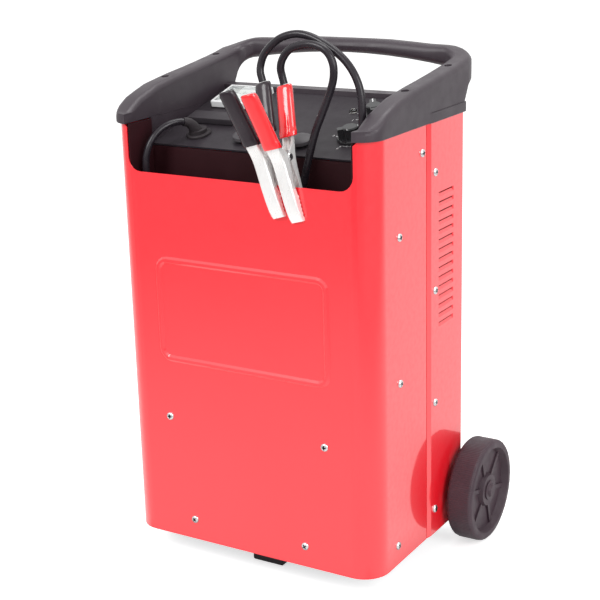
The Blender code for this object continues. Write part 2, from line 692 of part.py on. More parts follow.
def rail_rings():
    """Sections from the right rail's front end round the corner to the middle of the handle bar."""
    half = RAIL_WIDTH / 2
    corner_x, corner_y = RAIL_X - HANDLE_CORNER_R, HANDLE_Y - HANDLE_CORNER_R
    crest_y, crest_z = zip(*CREST)
    arc_x, arc_y, arc_r = RAIL_OUT - TOP_CORNER_R, FRONT - BAND_OUTSET + TOP_CORNER_R, TOP_CORNER_R
    rings = []
    for y in RAIL_STATIONS + (UNDER_START, (UNDER_START + corner_y) / 2, corner_y):
        outer = half
        if y < arc_y:
            outer = arc_x + math.sqrt(arc_r ** 2 - (y - arc_y) ** 2) - RAIL_X
        high = np.interp(y, crest_y, crest_z)
        lift = max(0.0, (y - UNDER_START) / (corner_y - UNDER_START))
        low = CLEAR + UNDER_END * lift
        top_round = min(RAIL_ROUND, (high - low) * 0.45, (outer + half) * 0.45)
        rings.append(rail_ring((RAIL_X, y), (1, 0), half, outer, low, high, top_round, 0.001))
    for angle in (15, 30, 45, 60, 75, 90):
        a = math.radians(angle)
        t = angle / 90
        wide = half + (BAR_WIDTH / 2 - half) * t
        centre = (corner_x + HANDLE_CORNER_R * math.cos(a), corner_y + HANDLE_CORNER_R * math.sin(a))
        high = crest_z[-1] + (CORNER_CREST - crest_z[-1]) * eased(t)
        low = UNDER_END + (CORNER_UNDER - UNDER_END) * math.sin(a)
        low_round = min(0.001 + 0.007 * t, BAR_ROUND)
        rings.append(rail_ring(centre, (math.cos(a), math.sin(a)), wide, wide, low, high, RAIL_ROUND, low_round))
    start_high, half = CORNER_CREST, BAR_WIDTH / 2
    for x in (corner_x * 0.84, corner_x * 0.64, corner_x * 0.42, corner_x * 0.2, 0.0):
        t = eased(min(1.0, (corner_x - x) / BAR_EASE))
        high = start_high + (BAR_CREST - start_high) * t
        low = CORNER_UNDER + (BAR_UNDER - CORNER_UNDER) * (1 - (x / corner_x) ** 2)
        rings.append(rail_ring((x, HANDLE_Y), (0, 1), half, half, low, high, BAR_ROUND, BAR_ROUND * 0.97))
    return rings


def band_outline():
    """The skirt band on top of the covers, as a closed strip in plan, right half of the cabinet."""
    side, back, front = SIDE + BAND_OUTSET, REAR + BAND_BACK, FRONT - BAND_OUTSET
    centre = (side - TOP_CORNER_R, front + TOP_CORNER_R)
    start = math.degrees(math.acos((RAIL_IN + SINK - centre[0]) / TOP_CORNER_R))
    outside = arc(centre, TOP_CORNER_R, -start, 0, 6)
    outside += [(side, RAMP_START), (side + REAR_STEP, RAMP_START + REAR_RAMP)]
    outside += arc((side + REAR_STEP - REAR_CORNER_R, back - REAR_CORNER_R), REAR_CORNER_R, 0, 90, 3)
    outside += [(-SINK, back)]
    inside = [(-SINK, REAR - BAND_WALL), (REAR_SIDE - BAND_WALL, REAR - BAND_WALL)]
    inside += [(REAR_SIDE - BAND_WALL, RAMP_START + REAR_RAMP), (SIDE - BAND_WALL, RAMP_START)]
    inside += [(SIDE - BAND_WALL, centre[1]), (RAIL_IN + SINK, centre[1])]
    return outside + inside


def rail_hollow():
    """The hollow under the right rail, as Y and Z, a wall's thickness inside its crest."""
    crest_y, crest_z = zip(*CREST)
    front, rear = FRONT + TOP_CORNER_R, REAR - 2 * REAR_WALL
    points = [(rear, HEIGHT - PASS), (front, HEIGHT - PASS)]
    for y in (front,) + HOLLOW_STATIONS + (rear,):
        points.append((y, HEIGHT + np.interp(y, crest_y, crest_z) - 1.6 * RAIL_SHELL))
    return points


def make_top(cabinet, plastic):
    """Band, rails, rear ledge and handle, moulded in one."""
    frame = loft("top_frame", rail_rings(), closed_end=False)
    place(frame, cabinet, plastic)
    for vertex in frame.data.vertices:
        if vertex.co.x < SINK and vertex.co.y > REAR:
            vertex.co.x = 0.0
    modify(frame, "MIRROR", use_axis=(True, False, False), use_clip=True, merge_threshold=0.00001)
    for name, side in (("right", 1), ("left", -1)):
        outline = [(side * x, y) for x, y in band_outline()]
        join(frame, prism("band_" + name, outline, TOP, TOP + BAND_HEIGHT, "Z"), cabinet)
    top = HEIGHT + LEDGE_TOP
    inner = RAIL_IN + SINK
    join(frame, box("ledge", (-inner, LEDGE_Y, top - LEDGE_THICKNESS), (inner, REAR, top)), cabinet)
    join(frame, box("rear_wall", (-inner, REAR - REAR_WALL - SINK, TOP), (inner, REAR - SINK / 2, top - SINK)),
         cabinet)
    skirts = []
    for side in (1, -1):
        edges = sorted((side * RAIL_IN, side * (RAIL_IN + REAR_WALL)))
        skirts.append(((edges[0], WELL_REAR_Y, TOP - SKIRT_DEPTH), (edges[1], LEDGE_Y + SINK, TOP + SINK)))
    join(frame, boxes("skirts", skirts), cabinet)
    for name, side in (("right", 1), ("left", -1)):
        edges = sorted((side * (RAIL_IN + REAR_WALL + SINK), side * (RAIL_OUT - RAIL_SHELL)))
        cut(frame, prism("rail_hollow_" + name, rail_hollow(), edges[0], edges[1], "X"), cabinet)
    holes = []
    crest_y, crest_z = zip(*CREST)
    for side in (1, -1):
        for i, y in enumerate(RAIL_SCREWS_Y):
            z = HEIGHT + np.interp(y, crest_y, crest_z)
            start, end = (side * RAIL_X, y, z + PASS), (side * RAIL_X, y, z - RAIL_SCREW_DEPTH * 0.3)
            holes.append(cylinder(f"rail_screw_{side}_{i}", RAIL_SCREW_R, start, end, 12))
    for hole in holes:
        cut(frame, hole, cabinet)
    smooth(frame, 32.0)


def make_well(cabinet, plastic):
    """An open-topped tray behind the front cover."""
    low = (-WELL_SIDE, WELL_FRONT, WELL_FLOOR_Z)
    high = (WELL_SIDE, WELL_REAR_Y, HEIGHT - CLEAR)
    radius = CORNER_R - SHEET - 2 * CLEAR
    corner_x = SIDE - CORNER_R

    def plan(inset):
        side = WELL_SIDE - inset
        r = radius - inset
        reach = math.degrees(math.acos(min(1.0, (side - corner_x) / r)))
        right = arc((corner_x, FRONT + CORNER_R), r, -90, -reach, 2)
        right += [(side, WELL_REAR_Y - inset)]
        return right + [(-x, y) for x, y in reversed(right)]

    well = place(prism("storage_well", plan(0), low[2], high[2], "Z"), cabinet, plastic)
    cut(well, prism("well_inside", plan(WELL_WALL), WELL_INSIDE_Z, high[2] + PASS, "Z"), cabinet)
    front_top = NOTCH_Z - WELL_FRONT_DROP
    reach = WELL_SIDE - WELL_WALL
    gap = box("well_front_cutter", (-reach, FRONT - PASS, front_top), (reach, WELL_FRONT + WELL_WALL + PASS,
                                                                        HEIGHT + PASS))
    cut(well, gap, cabinet)
    back = box("well_rear_cutter", (-WIDTH, WELL_REAR_Y - WELL_WALL - CLEAR, WELL_REAR_Z),
               (WIDTH, WELL_REAR_Y + PASS, HEIGHT + PASS))
    cut(well, back, cabinet)
    for name, x, y in grommet_places():
        hole = cylinder(name + "_hole", GROMMET_R + CLEAR, (x, y, WELL_FLOOR_Z - PASS),
                        (x, y, WELL_INSIDE_Z + PASS), 16)
        cut(well, hole, cabinet)


def make_grommets(cabinet, rubber):
    for name, x, y in grommet_places():
        top = WELL_INSIDE_Z + CLEAR + GROMMET_FLANGE
        profile = [(0, top), (GROMMET_FLANGE_R - 0.001, top), (GROMMET_FLANGE_R, top - 0.001),
                   (GROMMET_FLANGE_R, WELL_INSIDE_Z + CLEAR), (GROMMET_R, WELL_INSIDE_Z + CLEAR),
                   (GROMMET_R, WELL_FLOOR_Z - 0.004), (0, WELL_FLOOR_Z - 0.004)]
        place(turned(name, profile, steps=16), cabinet, rubber, (x, y, 0))


# ================================================================ control panel and what is on it
def make_panel(board, sheet):
    """The sloping plate, with a hole for each thing that passes through it."""
    panel = box("control_panel", (-WELL_SIDE, -PANEL_LENGTH, -PANEL_SHEET), (WELL_SIDE, 0, 0))
    place(panel, board, sheet)
    holes = [("meter", METER_X, METER_V, METER_BARREL_R), ("gland", GLAND_X, GLAND_V, GLAND_STEM_R),
             ("lamp", LAMP_X, LAMP_V, LAMP_STEM_R)]
    holes += [("button_" + side, x, BUTTON_V, BUTTON_STEM_R) for side, x in BUTTON_X.items()]
    holes += [("selector_" + name, x, v, SPINDLE_R) for name, (x, v) in SELECTOR.items()]
    for name, x, v, radius in holes:
        hole = cylinder(name + "_hole", radius + 1.3 * CLEAR, on_panel(x, v, -PANEL_SHEET - PASS),
                        on_panel(x, v, PASS), 24)
        cut(panel, hole, board)


def make_meter(board, white, dial_white, black, glass):
    x, v = METER_X, METER_V
    hw, hh = METER_WIDTH / 2, METER_HEIGHT / 2
    case = box("meter_case", (x - hw, -v - hh, CLEAR), (x + hw, -v + hh, METER_BEZEL))
    bevel(place(case, board, white), 0.0012, 1)
    pocket = METER_BEZEL - METER_POCKET
    px, py = hw - METER_RIM, hh - METER_RIM
    cut(case, box("meter_pocket", (x - px, -v - py, pocket), (x + px, -v + py, METER_BEZEL + PASS)), board)
    join(case, cylinder("meter_barrel", METER_BARREL_R, on_panel(x, v, -METER_BARREL),
                        on_panel(x, v, pocket / 2), 24), board)
    dx, dy = px - CLEAR, py - CLEAR
    dial_top = pocket + CLEAR + DIAL_SHEET
    dial = box("meter_dial", (x - dx, -v - dy, pocket + CLEAR), (x + dx, -v + dy, dial_top))
    place(dial, board, dial_white)
    top = METER_BEZEL - CLEAR
    window = box("meter_window", (x - dx, -v - dy, top - WINDOW_SHEET), (x + dx, -v + dy, top))
    place(window, board, glass)
    hub = turned("meter_needle", [(0, NEEDLE_HUB), (NEEDLE_HUB_R, NEEDLE_HUB), (NEEDLE_HUB_R, 0), (0, 0)], 16)
    spin = (0, 0, math.radians(NEEDLE_REST))
    place(hub, board, black, (x, -v - PIVOT_DROP, dial_top + CLEAR), spin)
    half = NEEDLE_WIDTH / 2
    bar = prism("needle_bar", [(-half, 0), (half, 0), (half / 3, NEEDLE_LENGTH), (-half / 3, NEEDLE_LENGTH)],
                NEEDLE_HUB * 0.4, NEEDLE_HUB * 0.4 + NEEDLE_SHEET, "Z")
    bar.location, bar.rotation_euler = hub.location, spin
    join(hub, bar, board)


def make_fuse_cover(board, black):
    sx, sy, sz = FUSE_SIZE
    cover = box("fuse_cover", (FUSE_X - sx / 2, -FUSE_V - sy / 2, CLEAR), (FUSE_X + sx / 2, -FUSE_V + sy / 2, sz))
    bevel(place(cover, board, black), 0.0015, 2)


def make_gland(cabinet, board, rubber):
    """A flanged gland with a tapered boot that bends with the cord."""
    flange, body = CLEAR + GLAND_FLANGE, CLEAR + GLAND_FLANGE + GLAND_BODY
    profile = [(0, body), (GLAND_BODY_R, body), (GLAND_BODY_R, flange), (GLAND_FLANGE_R - 0.001, flange),
               (GLAND_FLANGE_R, flange - 0.001), (GLAND_FLANGE_R, CLEAR), (GLAND_STEM_R, CLEAR),
               (GLAND_STEM_R, -GLAND_STEM), (0, -GLAND_STEM)]
    gland = place(turned("mains_gland", profile, 20), board, rubber, on_panel(GLAND_X, GLAND_V))
    path = mains_path()[:GLAND_BOOT + 2]
    rings = []
    for i in range(GLAND_BOOT + 1):
        way = (path[i + 1] - path[i]).normalized()
        across = way.cross(Vector((1, 0, 0))).normalized()
        other = way.cross(across)
        radius = GLAND_BOOT_R + (GLAND_TIP_R - GLAND_BOOT_R) * i / GLAND_BOOT
        turns = [2 * math.pi * k / 16 for k in range(16)]
        rings.append([path[i] + (across * math.cos(a) + other * math.sin(a)) * radius for a in turns])
    join(gland, loft("gland_boot", rings), cabinet)


def make_lamp(board, clear):
    profile = [(0, 0.0042), (LAMP_R * 0.55, 0.0036), (LAMP_R * 0.9, 0.0020), (LAMP_R, CLEAR), (LAMP_STEM_R, CLEAR),
               (LAMP_STEM_R, -LAMP_STEM), (0, -LAMP_STEM)]
    place(turned("pilot_lamp", profile, 16), board, clear, on_panel(LAMP_X, LAMP_V))


def make_button(board, rubber, black, side):
    """A domed push cap whose stem runs into the breaker under the panel."""
    x = BUTTON_X[side]
    rim = BUTTON_TRAVEL + CLEAR
    shoulder = rim + BUTTON_THICKNESS
    stem_end = -PANEL_SHEET - BUTTON_STEM
    profile = [(0, shoulder + BUTTON_DOME), (BUTTON_R * 0.5, shoulder + BUTTON_DOME * 0.8),
               (BUTTON_R * 0.82, shoulder + BUTTON_DOME * 0.42), (BUTTON_R * 0.97, shoulder),
               (BUTTON_R, rim), (BUTTON_STEM_R, rim), (BUTTON_STEM_R, stem_end), (0, stem_end)]
    place(turned("reset_button_" + side, profile, 24), board, rubber, on_panel(x, BUTTON_V))
    sx, sy, sz = BREAKER_SIZE
    top = -PANEL_SHEET - CLEAR
    body = box("breaker_" + side, (x - sx / 2, -BUTTON_V - sy / 2, top - sz), (x + sx / 2, -BUTTON_V + sy / 2, top))
    place(body, board, black)
    deep = stem_end - BUTTON_TRAVEL - CLEAR
    cut(body, cylinder("breaker_bore_" + side, BUTTON_STEM_R + BORE_CLEAR, on_panel(x, BUTTON_V, deep),
                       on_panel(x, BUTTON_V, top + PASS), 24), board)


def make_selector(board, black, name):
    """A pointer knob with its spindle, and the switch under the panel."""
    x, v = SELECTOR[name]
    skirt = CLEAR + KNOB_SKIRT
    profile = [(0, KNOB_HEIGHT), (KNOB_R - 0.0012, KNOB_HEIGHT), (KNOB_R, KNOB_HEIGHT - 0.0012), (KNOB_R, skirt),
               (KNOB_SKIRT_R - 0.001, skirt), (KNOB_SKIRT_R, skirt - 0.0015), (KNOB_SKIRT_R, CLEAR),
               (SPINDLE_R, CLEAR), (SPINDLE_R, -SPINDLE), (0, -SPINDLE)]
    knob = turned(f"{name}_knob", profile, 24)
    spin = (0, 0, math.radians(POINTER_ANGLE[name]))
    place(knob, board, black, on_panel(x, v), spin)
    back, tip = -POINTER_LENGTH * 0.42, POINTER_LENGTH * 0.58
    half = POINTER_WIDTH / 2
    outline = [(half, back), (half, tip - half), (0, tip), (-half, tip - half), (-half, back)]
    wing = prism(f"{name}_wing", outline, skirt - SINK, KNOB_HEIGHT - 0.0006, "Z")
    wing.location, wing.rotation_euler = knob.location, spin
    join(knob, wing, board)
    sx, sy, sz = SWITCH_SIZE
    top = -PANEL_SHEET - CLEAR
    body = box(f"{name}_switch", (x - sx / 2, -v - sy / 2, top - sz), (x + sx / 2, -v + sy / 2, top))
    bevel(place(body, board, black), 0.002, 1)
    cut(body, cylinder(f"{name}_bore", SPINDLE_R + BORE_CLEAR, on_panel(x, v, -SPINDLE - CLEAR),
                       on_panel(x, v, top + PASS), 24), board)


# ================================================================ transformer and rectifier
def ring_box(name, inner, outer, low, high):
    """An upright square tube: half sizes of its hole and of its outside, as (x, y)."""
    outline = [(sx * outer[0], sy * outer[1]) for sx, sy in ((1, 1), (-1, 1), (-1, -1), (1, -1))]
    hole = [(sx * inner[0], sy * inner[1]) for sx, sy in ((1, 1), (-1, 1), (-1, -1), (1, -1))]
    bm = bmesh.new()
    rows = []
    for points, z in ((outline, low), (outline, high), (hole, high), (hole, low)):
        rows.append([bm.verts.new((x, y, z)) for x, y in points])
    for row, after in zip(rows, rows[1:] + rows[:1]):
        for i in range(4):
            j = (i + 1) % 4
            bm.faces.new((row[i], row[j], after[j], after[i]))
    return mesh_object(name, bm)


def make_transformer(cabinet, laminations, card, copper, tape, steel):
    low = BASE_SHEET + CLEAR + CORE_BRACKET_SHEET + CLEAR
    place_at = (CORE_X, CORE_Y, low)
    half_x, half_y = CORE_WIDTH / 2, CORE_STACK / 2
    core = box("transformer_core", (-half_x, -half_y, 0), (half_x, half_y, CORE_HEIGHT))
    place(core, cabinet, laminations, place_at)
    window = half_x - 2 * LIMB
    sides = []
    for side in (1, -1):
        near, far = side * LIMB, side * (LIMB + window)
        sides.append(((min(near, far), -DEPTH, LIMB), (max(near, far), DEPTH, CORE_HEIGHT - LIMB)))
    windows = boxes("core_windows", sides)
    windows.location = place_at
    cut(core, windows, cabinet)
    room = CORE_HEIGHT - 2 * LIMB
    inner = (LIMB + CLEAR, half_y + CLEAR)
    tube_out = (inner[0] + BOBBIN_WALL, inner[1] + BOBBIN_WALL)
    first = (tube_out[0] + CLEAR, tube_out[1] + CLEAR)
    first_out = (first[0] + PRIMARY_BUILD, first[1] + PRIMARY_BUILD)
    second = (first_out[0] + CLEAR, first_out[1] + CLEAR)
    second_out = (second[0] + SECONDARY_BUILD, second[1] + SECONDARY_BUILD)
    flange_out = (LIMB + window - CLEAR, second_out[1])
    base, top = LIMB + CLEAR, LIMB + room - CLEAR
    bobbin = ring_box("bobbin", inner, tube_out, base, top)
    place(bobbin, cabinet, card, place_at)
    for name, z in (("low", base), ("high", top - BOBBIN_WALL)):
        flange = ring_box(f"bobbin_flange_{name}", (inner[0] + SINK, inner[1] + SINK), flange_out, z, z + BOBBIN_WALL)
        flange.location = place_at
        join(bobbin, flange, cabinet)
    coil_low, coil_high = base + BOBBIN_WALL + CLEAR, top - BOBBIN_WALL - CLEAR
    primary = ring_box("primary_winding", first, first_out, coil_low, coil_high)
    place(primary, cabinet, copper, place_at)
    secondary = ring_box("secondary_winding", second, second_out, coil_low, coil_high)
    place(secondary, cabinet, tape, place_at)
    for name, side in (("front", -1), ("rear", 1)):
        make_core_bracket(cabinet, steel, name, side, half_x, half_y)


def make_core_bracket(cabinet, steel, name, side, half_x, half_y):
    """An angle under the core's edge: it stands against the yoke and its foot lies on the base plate."""
    face = half_y + CLEAR
    foot_low = BASE_SHEET + CLEAR
    yoke_top = foot_low + CORE_BRACKET_SHEET + CLEAR + LIMB - BOBBIN_WALL
    far = face + CORE_BRACKET_FOOT
    wall = (face, face + CORE_BRACKET_SHEET)
    outline = [(face - LIMB / 2, foot_low), (far, foot_low), (far, foot_low + CORE_BRACKET_SHEET),
               (wall[1], foot_low + CORE_BRACKET_SHEET), (wall[1], yoke_top), (wall[0], yoke_top),
               (wall[0], foot_low + CORE_BRACKET_SHEET), (face - LIMB / 2, foot_low + CORE_BRACKET_SHEET)]
    points = [(CORE_Y + side * y, z) for y, z in outline]
    angle = prism(f"core_bracket_{name}", points, CORE_X - half_x, CORE_X + half_x, "X")
    place(angle, cabinet, steel)


def make_rectifier(cabinet, aluminium, steel):
    """An upright finned heat sink on the base plate, with two stud diodes on its flat side."""
    low = BASE_SHEET + CLEAR
    back = SINK_X + SINK_BASE
    half = SINK_LENGTH / 2
    spacing = (SINK_LENGTH - FIN_SHEET) / (FIN_COUNT - 1)
    outline = [(SINK_X, half), (SINK_X, -half)]
    for i in range(FIN_COUNT):
        y = -half + i * spacing
        if i:
            outline.append((back, y))
        outline += [(back + FIN_DEPTH, y), (back + FIN_DEPTH, y + FIN_SHEET)]
        if i < FIN_COUNT - 1:
            outline.append((back, y + FIN_SHEET))
    outline = [(x, CORE_Y + y) for x, y in outline]
    sink = prism("rectifier_heatsink", outline, low, low + SINK_HEIGHT, "Z")
    place(sink, cabinet, aluminium)
    for i, name in enumerate(("lower", "upper")):
        z = low + SINK_HEIGHT / 2 + (i - 0.5) * DIODE_SPREAD
        profile = [(0, DIODE_BODY + 0.010), (0.0025, DIODE_BODY + 0.010), (0.0025, DIODE_BODY),
                   (DIODE_R * 0.75, DIODE_BODY), (DIODE_R * 0.75, DIODE_BODY * 0.4), (DIODE_R, DIODE_BODY * 0.4),
                   (DIODE_R, 0), (0, 0)]
        diode = turned(f"rectifier_diode_{name}", profile, 6)
        place(diode, cabinet, steel, (SINK_X - CLEAR, CORE_Y, z), Euler((0, math.radians(-90), 0)))


# ================================================================ battery clamps
def arm_outer():
    """Outside of one clamp arm from its tip to its end, as (away from the other arm, along the clamp)."""
    tip = GRIPPED + CLEAR + 0.0045
    return [(tip, -JAW_LENGTH), (tip + 0.0022, -JAW_LENGTH + 0.004), (tip + 0.0039, -JAW_LENGTH + 0.010),
            (0.0120, -0.048), (0.0128, -0.036), (0.0131, -0.024), (0.0133, -0.014), (0.0141, -0.005),
            (0.0158, 0.002), (HANDLE_FOOT_Y + ARM_DEPTH / 2, HANDLE_FOOT_Z - 0.001),
            (HANDLE_END_Y + ARM_DEPTH / 2, HANDLE_LENGTH)]


def arm_outline(inset):
    """Side view of one arm, its back drawn in. Teeth line the jaw's inside and the ear reaches past the pin."""
    outline = [(y - inset, z) for y, z in arm_outer()]
    outline += [(HANDLE_END_Y - ARM_DEPTH / 2, HANDLE_LENGTH), (HANDLE_FOOT_Y - ARM_DEPTH / 2, HANDLE_FOOT_Z)]
    outline += arc((0, 0), EAR_R, 60, 300, 8)
    grip = GRIPPED + CLEAR
    reach = JAW_LENGTH - 0.0015
    outline.append((grip + 0.004, -reach + TOOTH_COUNT * TOOTH_PITCH + 0.012))
    for i in range(TOOTH_COUNT, 0, -1):
        outline += [(grip + TOOTH, -reach + i * TOOTH_PITCH), (grip, -reach + (i - 0.5) * TOOTH_PITCH)]
    outline.append((grip, -JAW_LENGTH))
    return outline


def arm_channel():
    """What is cut out between an arm's two flanges, open towards the other arm."""
    web = [(y - ARM_SHEET, z) for y, z in arm_outer()]
    web[0] = (web[0][0], web[0][1] + ARM_SHEET)
    web[-1] = (web[-1][0], web[-1][1] + PASS)
    return web + [(-0.010, HANDLE_LENGTH + PASS), (-0.010, -JAW_LENGTH + ARM_SHEET)]


def make_arm(clamp, steel, name, side, width):
    """A bent channel. side -1 is the front arm, which turns on the pin."""
    def mirrored(points):
        return [(side * y, z) for y, z in points]
    rings = []
    for x, inset in ((0, 1), (0.3, 0.286), (1, 0)):
        rings.append([(x * ARM_ROUND - width / 2, y, z) for y, z in mirrored(arm_outline(inset * ARM_ROUND))])
    rings += [[(-x, y, z) for x, y, z in ring] for ring in reversed(rings)]
    arm = place(loft(name, rings), clamp, steel)
    inner = width / 2 - ARM_SHEET
    cut(arm, prism(name + "_channel", mirrored(arm_channel()), -inner, inner, "X"), clamp)
    cut(arm, cylinder(name + "_hole", CLAMP_PIN_R + BORE_CLEAR, (-width, 0, 0), (width, 0, 0), 16), clamp)


def sleeve_centre(z):
    t = (z - HANDLE_FOOT_Z) / (HANDLE_LENGTH - HANDLE_FOOT_Z)
    return HANDLE_FOOT_Y + (HANDLE_END_Y - HANDLE_FOOT_Y) * t


def make_sleeve(clamp, plastic, name, side, arm_width, low):
    """A soft sleeve over an arm's handle, open at its lower end."""
    rings = []
    top = HANDLE_LENGTH + SLEEVE_CAP
    shape = ((low, 1.05), (low + 0.006, 1.05), (low + 0.008, 1.0),
             (HANDLE_LENGTH * 0.6, 0.98), (HANDLE_LENGTH + 0.001, 0.96), (top, 0.80))
    for z, grow in shape:
        ring = []
        for i in range(16):
            a = 2 * math.pi * (i + 0.5) / 16
            x = SLEEVE_HALF_X * grow * math.copysign(abs(math.cos(a)) ** 0.8, math.cos(a))
            y = SLEEVE_HALF_Y * grow * math.copysign(abs(math.sin(a)) ** 0.8, math.sin(a))
            ring.append((x, side * (sleeve_centre(z) + y), z))
        rings.append(ring)
    sleeve = smooth(place(loft(name, rings), clamp, plastic))
    half = ARM_DEPTH / 2 + CLEAR
    lean = (HANDLE_END_Y - HANDLE_FOOT_Y) / (HANDLE_LENGTH - HANDLE_FOOT_Z)
    start = low - PASS
    end = HANDLE_LENGTH + CLEAR
    def across(z, offset):
        return side * (sleeve_centre(z) + offset * math.hypot(1, lean))
    outline = [(across(start, -half), start), (across(start, half + 0.001), start), (across(end, half), end),
               (across(end, -half), end)]
    cut(sleeve, prism(name + "_inside", outline, -arm_width / 2 - CLEAR, arm_width / 2 + CLEAR, "X"), clamp)


def spring_points():
    """A torsion spring round the pin, with a short leg at each end."""
    span = 2 * SPRING_WIRE_R + 0.0005
    count = SPRING_TURNS * 8
    points = [(-SPRING_TURNS * span / 2, SPRING_R, 0.009)]
    for i in range(count + 1):
        a = 2 * math.pi * i / 8
        x = -SPRING_TURNS * span / 2 + span * i / 8
        points.append((x, SPRING_R * math.cos(a), -SPRING_R * math.sin(a)))
    points.append((SPRING_TURNS * span / 2, SPRING_R, 0.007))
    return points


def make_clamp(cabinet, colour, steel, spring_steel, sleeve_plastic):
    x, z = CLAMP_X[colour], NOTCH_Z + CLAMP_RISE[colour]
    clamp = empty(f"{colour}_clamp", (x, CLAMP_Y, z), (0, math.radians(-CLAMP_TILT[colour]), 0), cabinet)
    inner_width = ARM_WIDTH - 2 * ARM_SHEET - 2 * CLEAR
    make_arm(clamp, steel, f"{colour}_clamp_front_arm", -1, ARM_WIDTH)
    make_arm(clamp, steel, f"{colour}_clamp_rear_arm", 1, inner_width)
    for name, side, width in (("front", -1, ARM_WIDTH), ("rear", 1, inner_width)):
        make_sleeve(clamp, sleeve_plastic, f"{colour}_clamp_{name}_grip", side, width, SLEEVE_START[name])
    reach = ARM_WIDTH / 2 + CLEAR
    head = reach + PIN_HEAD
    profile = [(0, head), (PIN_HEAD_R * 0.8, head), (PIN_HEAD_R, reach), (CLAMP_PIN_R, reach),
               (CLAMP_PIN_R, -reach), (PIN_HEAD_R, -reach), (PIN_HEAD_R * 0.8, -head), (0, -head)]
    pin = turned(f"{colour}_clamp_pin", profile, 16)
    place(pin, clamp, steel, rotation=(0, math.radians(90), 0))
    spring = tube(f"{colour}_clamp_spring", spring_points(), SPRING_WIRE_R, 1)
    place(spring, clamp, spring_steel)
    return clamp


# ================================================================ leads
def coil_points(centre, radius, tube_r, layer_y, turns, start_side, exit_points):
    """One unbroken coil in an upright plane, two layers, spiralling in on the first and out on the second.

    start_side 1 begins at the right and turns clockwise seen from the front, -1 mirrors that. Both ends
    lie on the outermost turn, the first pointing up. exit_points follow the last turn.
    """
    pitch = 2 * tube_r + COIL_PITCH
    half = turns / 2
    count = round(turns * COIL_POINTS)
    points = [(centre[0] + start_side * radius, layer_y, centre[1] + 2 * tube_r)]
    for i in range(count + 1):
        t = i / COIL_POINTS - half
        r = radius - pitch * (half - abs(t))
        a = 2 * math.pi * i / COIL_POINTS
        climb = min(1.0, max(0.0, (t + 0.25) / 0.5))
        y = layer_y + pitch * eased(climb)
        points.append((centre[0] + start_side * r * math.cos(a), y, centre[1] - r * math.sin(a)))
    return points + [tuple(p) for p in exit_points]


def self_gap(points, radius):
    """The least gap between stretches of a tube that aren't neighbours along it."""
    table = np.array(points)
    ahead = 12
    least = 1.0
    for i in range(len(table) - ahead):
        far = table[i + ahead:]
        near = table[i + ahead - 1:-1]
        way = far - near
        t = np.clip(((table[i] - near) * way).sum(1) / (way ** 2).sum(1), 0, 1)
        least = min(least, np.linalg.norm(near + way * t[:, None] - table[i], axis=1).min())
    return least - 2 * radius


def layers(tube_r, count):
    """Y of each of count layers in the well, from the front wall."""
    pitch = 2 * tube_r + COIL_PITCH
    first = WELL_FRONT + WELL_WALL + CLEAR + tube_r
    return [first + pitch * i for i in range(count)]


def lead_coil_z():
    return WELL_INSIDE_Z + CLEAR + LEAD_COIL_R + LEAD_R


def grommet_places():
    """Where each DC lead leaves the well's floor: under its coil's last turn."""
    rows = layers(LEAD_R, 4)
    return (("black_lead_grommet", LEAD_COIL_X + LEAD_COIL_R, rows[3]),
            ("red_lead_grommet", LEAD_COIL_X - LEAD_COIL_R, rows[1]))


def lead_end(colour):
    """The middle of the rear sleeve's top and the direction the lead leaves it, in the cabinet's frame."""
    x, z = CLAMP_X[colour], NOTCH_Z + CLAMP_RISE[colour]
    tilt = Matrix.Rotation(math.radians(-CLAMP_TILT[colour]), 3, "Y")
    top = HANDLE_LENGTH + SLEEVE_CAP
    at = tilt @ Vector((0, sleeve_centre(top), top + CLEAR)) + Vector((x, CLAMP_Y, z))
    return at, tilt @ Vector((0, 0, 1))


# The leads' own points between the clamp or the gland and the coil: X, Y and height above the cabinet's top.
BLACK_ROUTE = ((0.0125, -0.0720, 0.0675), (0.0165, -0.0705, 0.0795), (0.0267, -0.0690, 0.0908),
               (0.0390, -0.0680, 0.0985), (0.0548, -0.0670, 0.1022), (0.0702, -0.0665, 0.1005),
               (0.0857, -0.0665, 0.0945), (0.1011, -0.0665, 0.0860), (0.1124, -0.0665, 0.0775),
               (0.1215, -0.0670, 0.0675), (0.1285, -0.0680, 0.0560), (0.1330, -0.0690, 0.0430),
               (0.1348, -0.0700, 0.0250), (0.1350, -0.0715, 0.0000), (0.1340, -0.0740, -0.0350),
               (0.1315, -0.0775, -0.0750), (0.1285, -0.0820, -0.1250), (0.1265, -0.0835, -0.1600))
RED_ROUTE = ((0.0392, -0.0745, 0.0660), (0.0420, -0.0758, 0.0750), (0.0495, -0.0770, 0.0845),
             (0.0600, -0.0775, 0.0905), (0.0766, -0.0778, 0.0935), (0.0904, -0.0780, 0.0912),
             (0.0997, -0.0778, 0.0850), (0.1051, -0.0777, 0.0745), (0.1058, -0.0775, 0.0630),
             (0.1034, -0.0772, 0.0520), (0.0982, -0.0770, 0.0390), (0.0898, -0.0768, 0.0197),
             (0.0812, -0.0765, 0.0002), (0.0705, -0.0765, -0.0350), (0.0600, -0.0775, -0.0750),
             (0.0440, -0.0820, -0.1070), (0.0270, -0.0925, -0.1350), (0.0165, -0.1010, -0.1630))
MAINS_ROUTE = ((-0.1040, -0.0450, -0.0064), (-0.1076, -0.0512, -0.0043), (-0.1109, -0.0570, -0.0036),
               (-0.1164, -0.0664, -0.0050), (-0.1214, -0.0752, -0.0092), (-0.1258, -0.0827, -0.0159),
               (-0.1291, -0.0885, -0.0246), (-0.1313, -0.0922, -0.0347), (-0.1325, -0.0934, -0.0456),
               (-0.1338, -0.0930, -0.0900), (-0.1342, -0.0915, -0.1450))


def above_cabinet(route):
    return [Vector((x, y, HEIGHT + z)) for x, y, z in route]


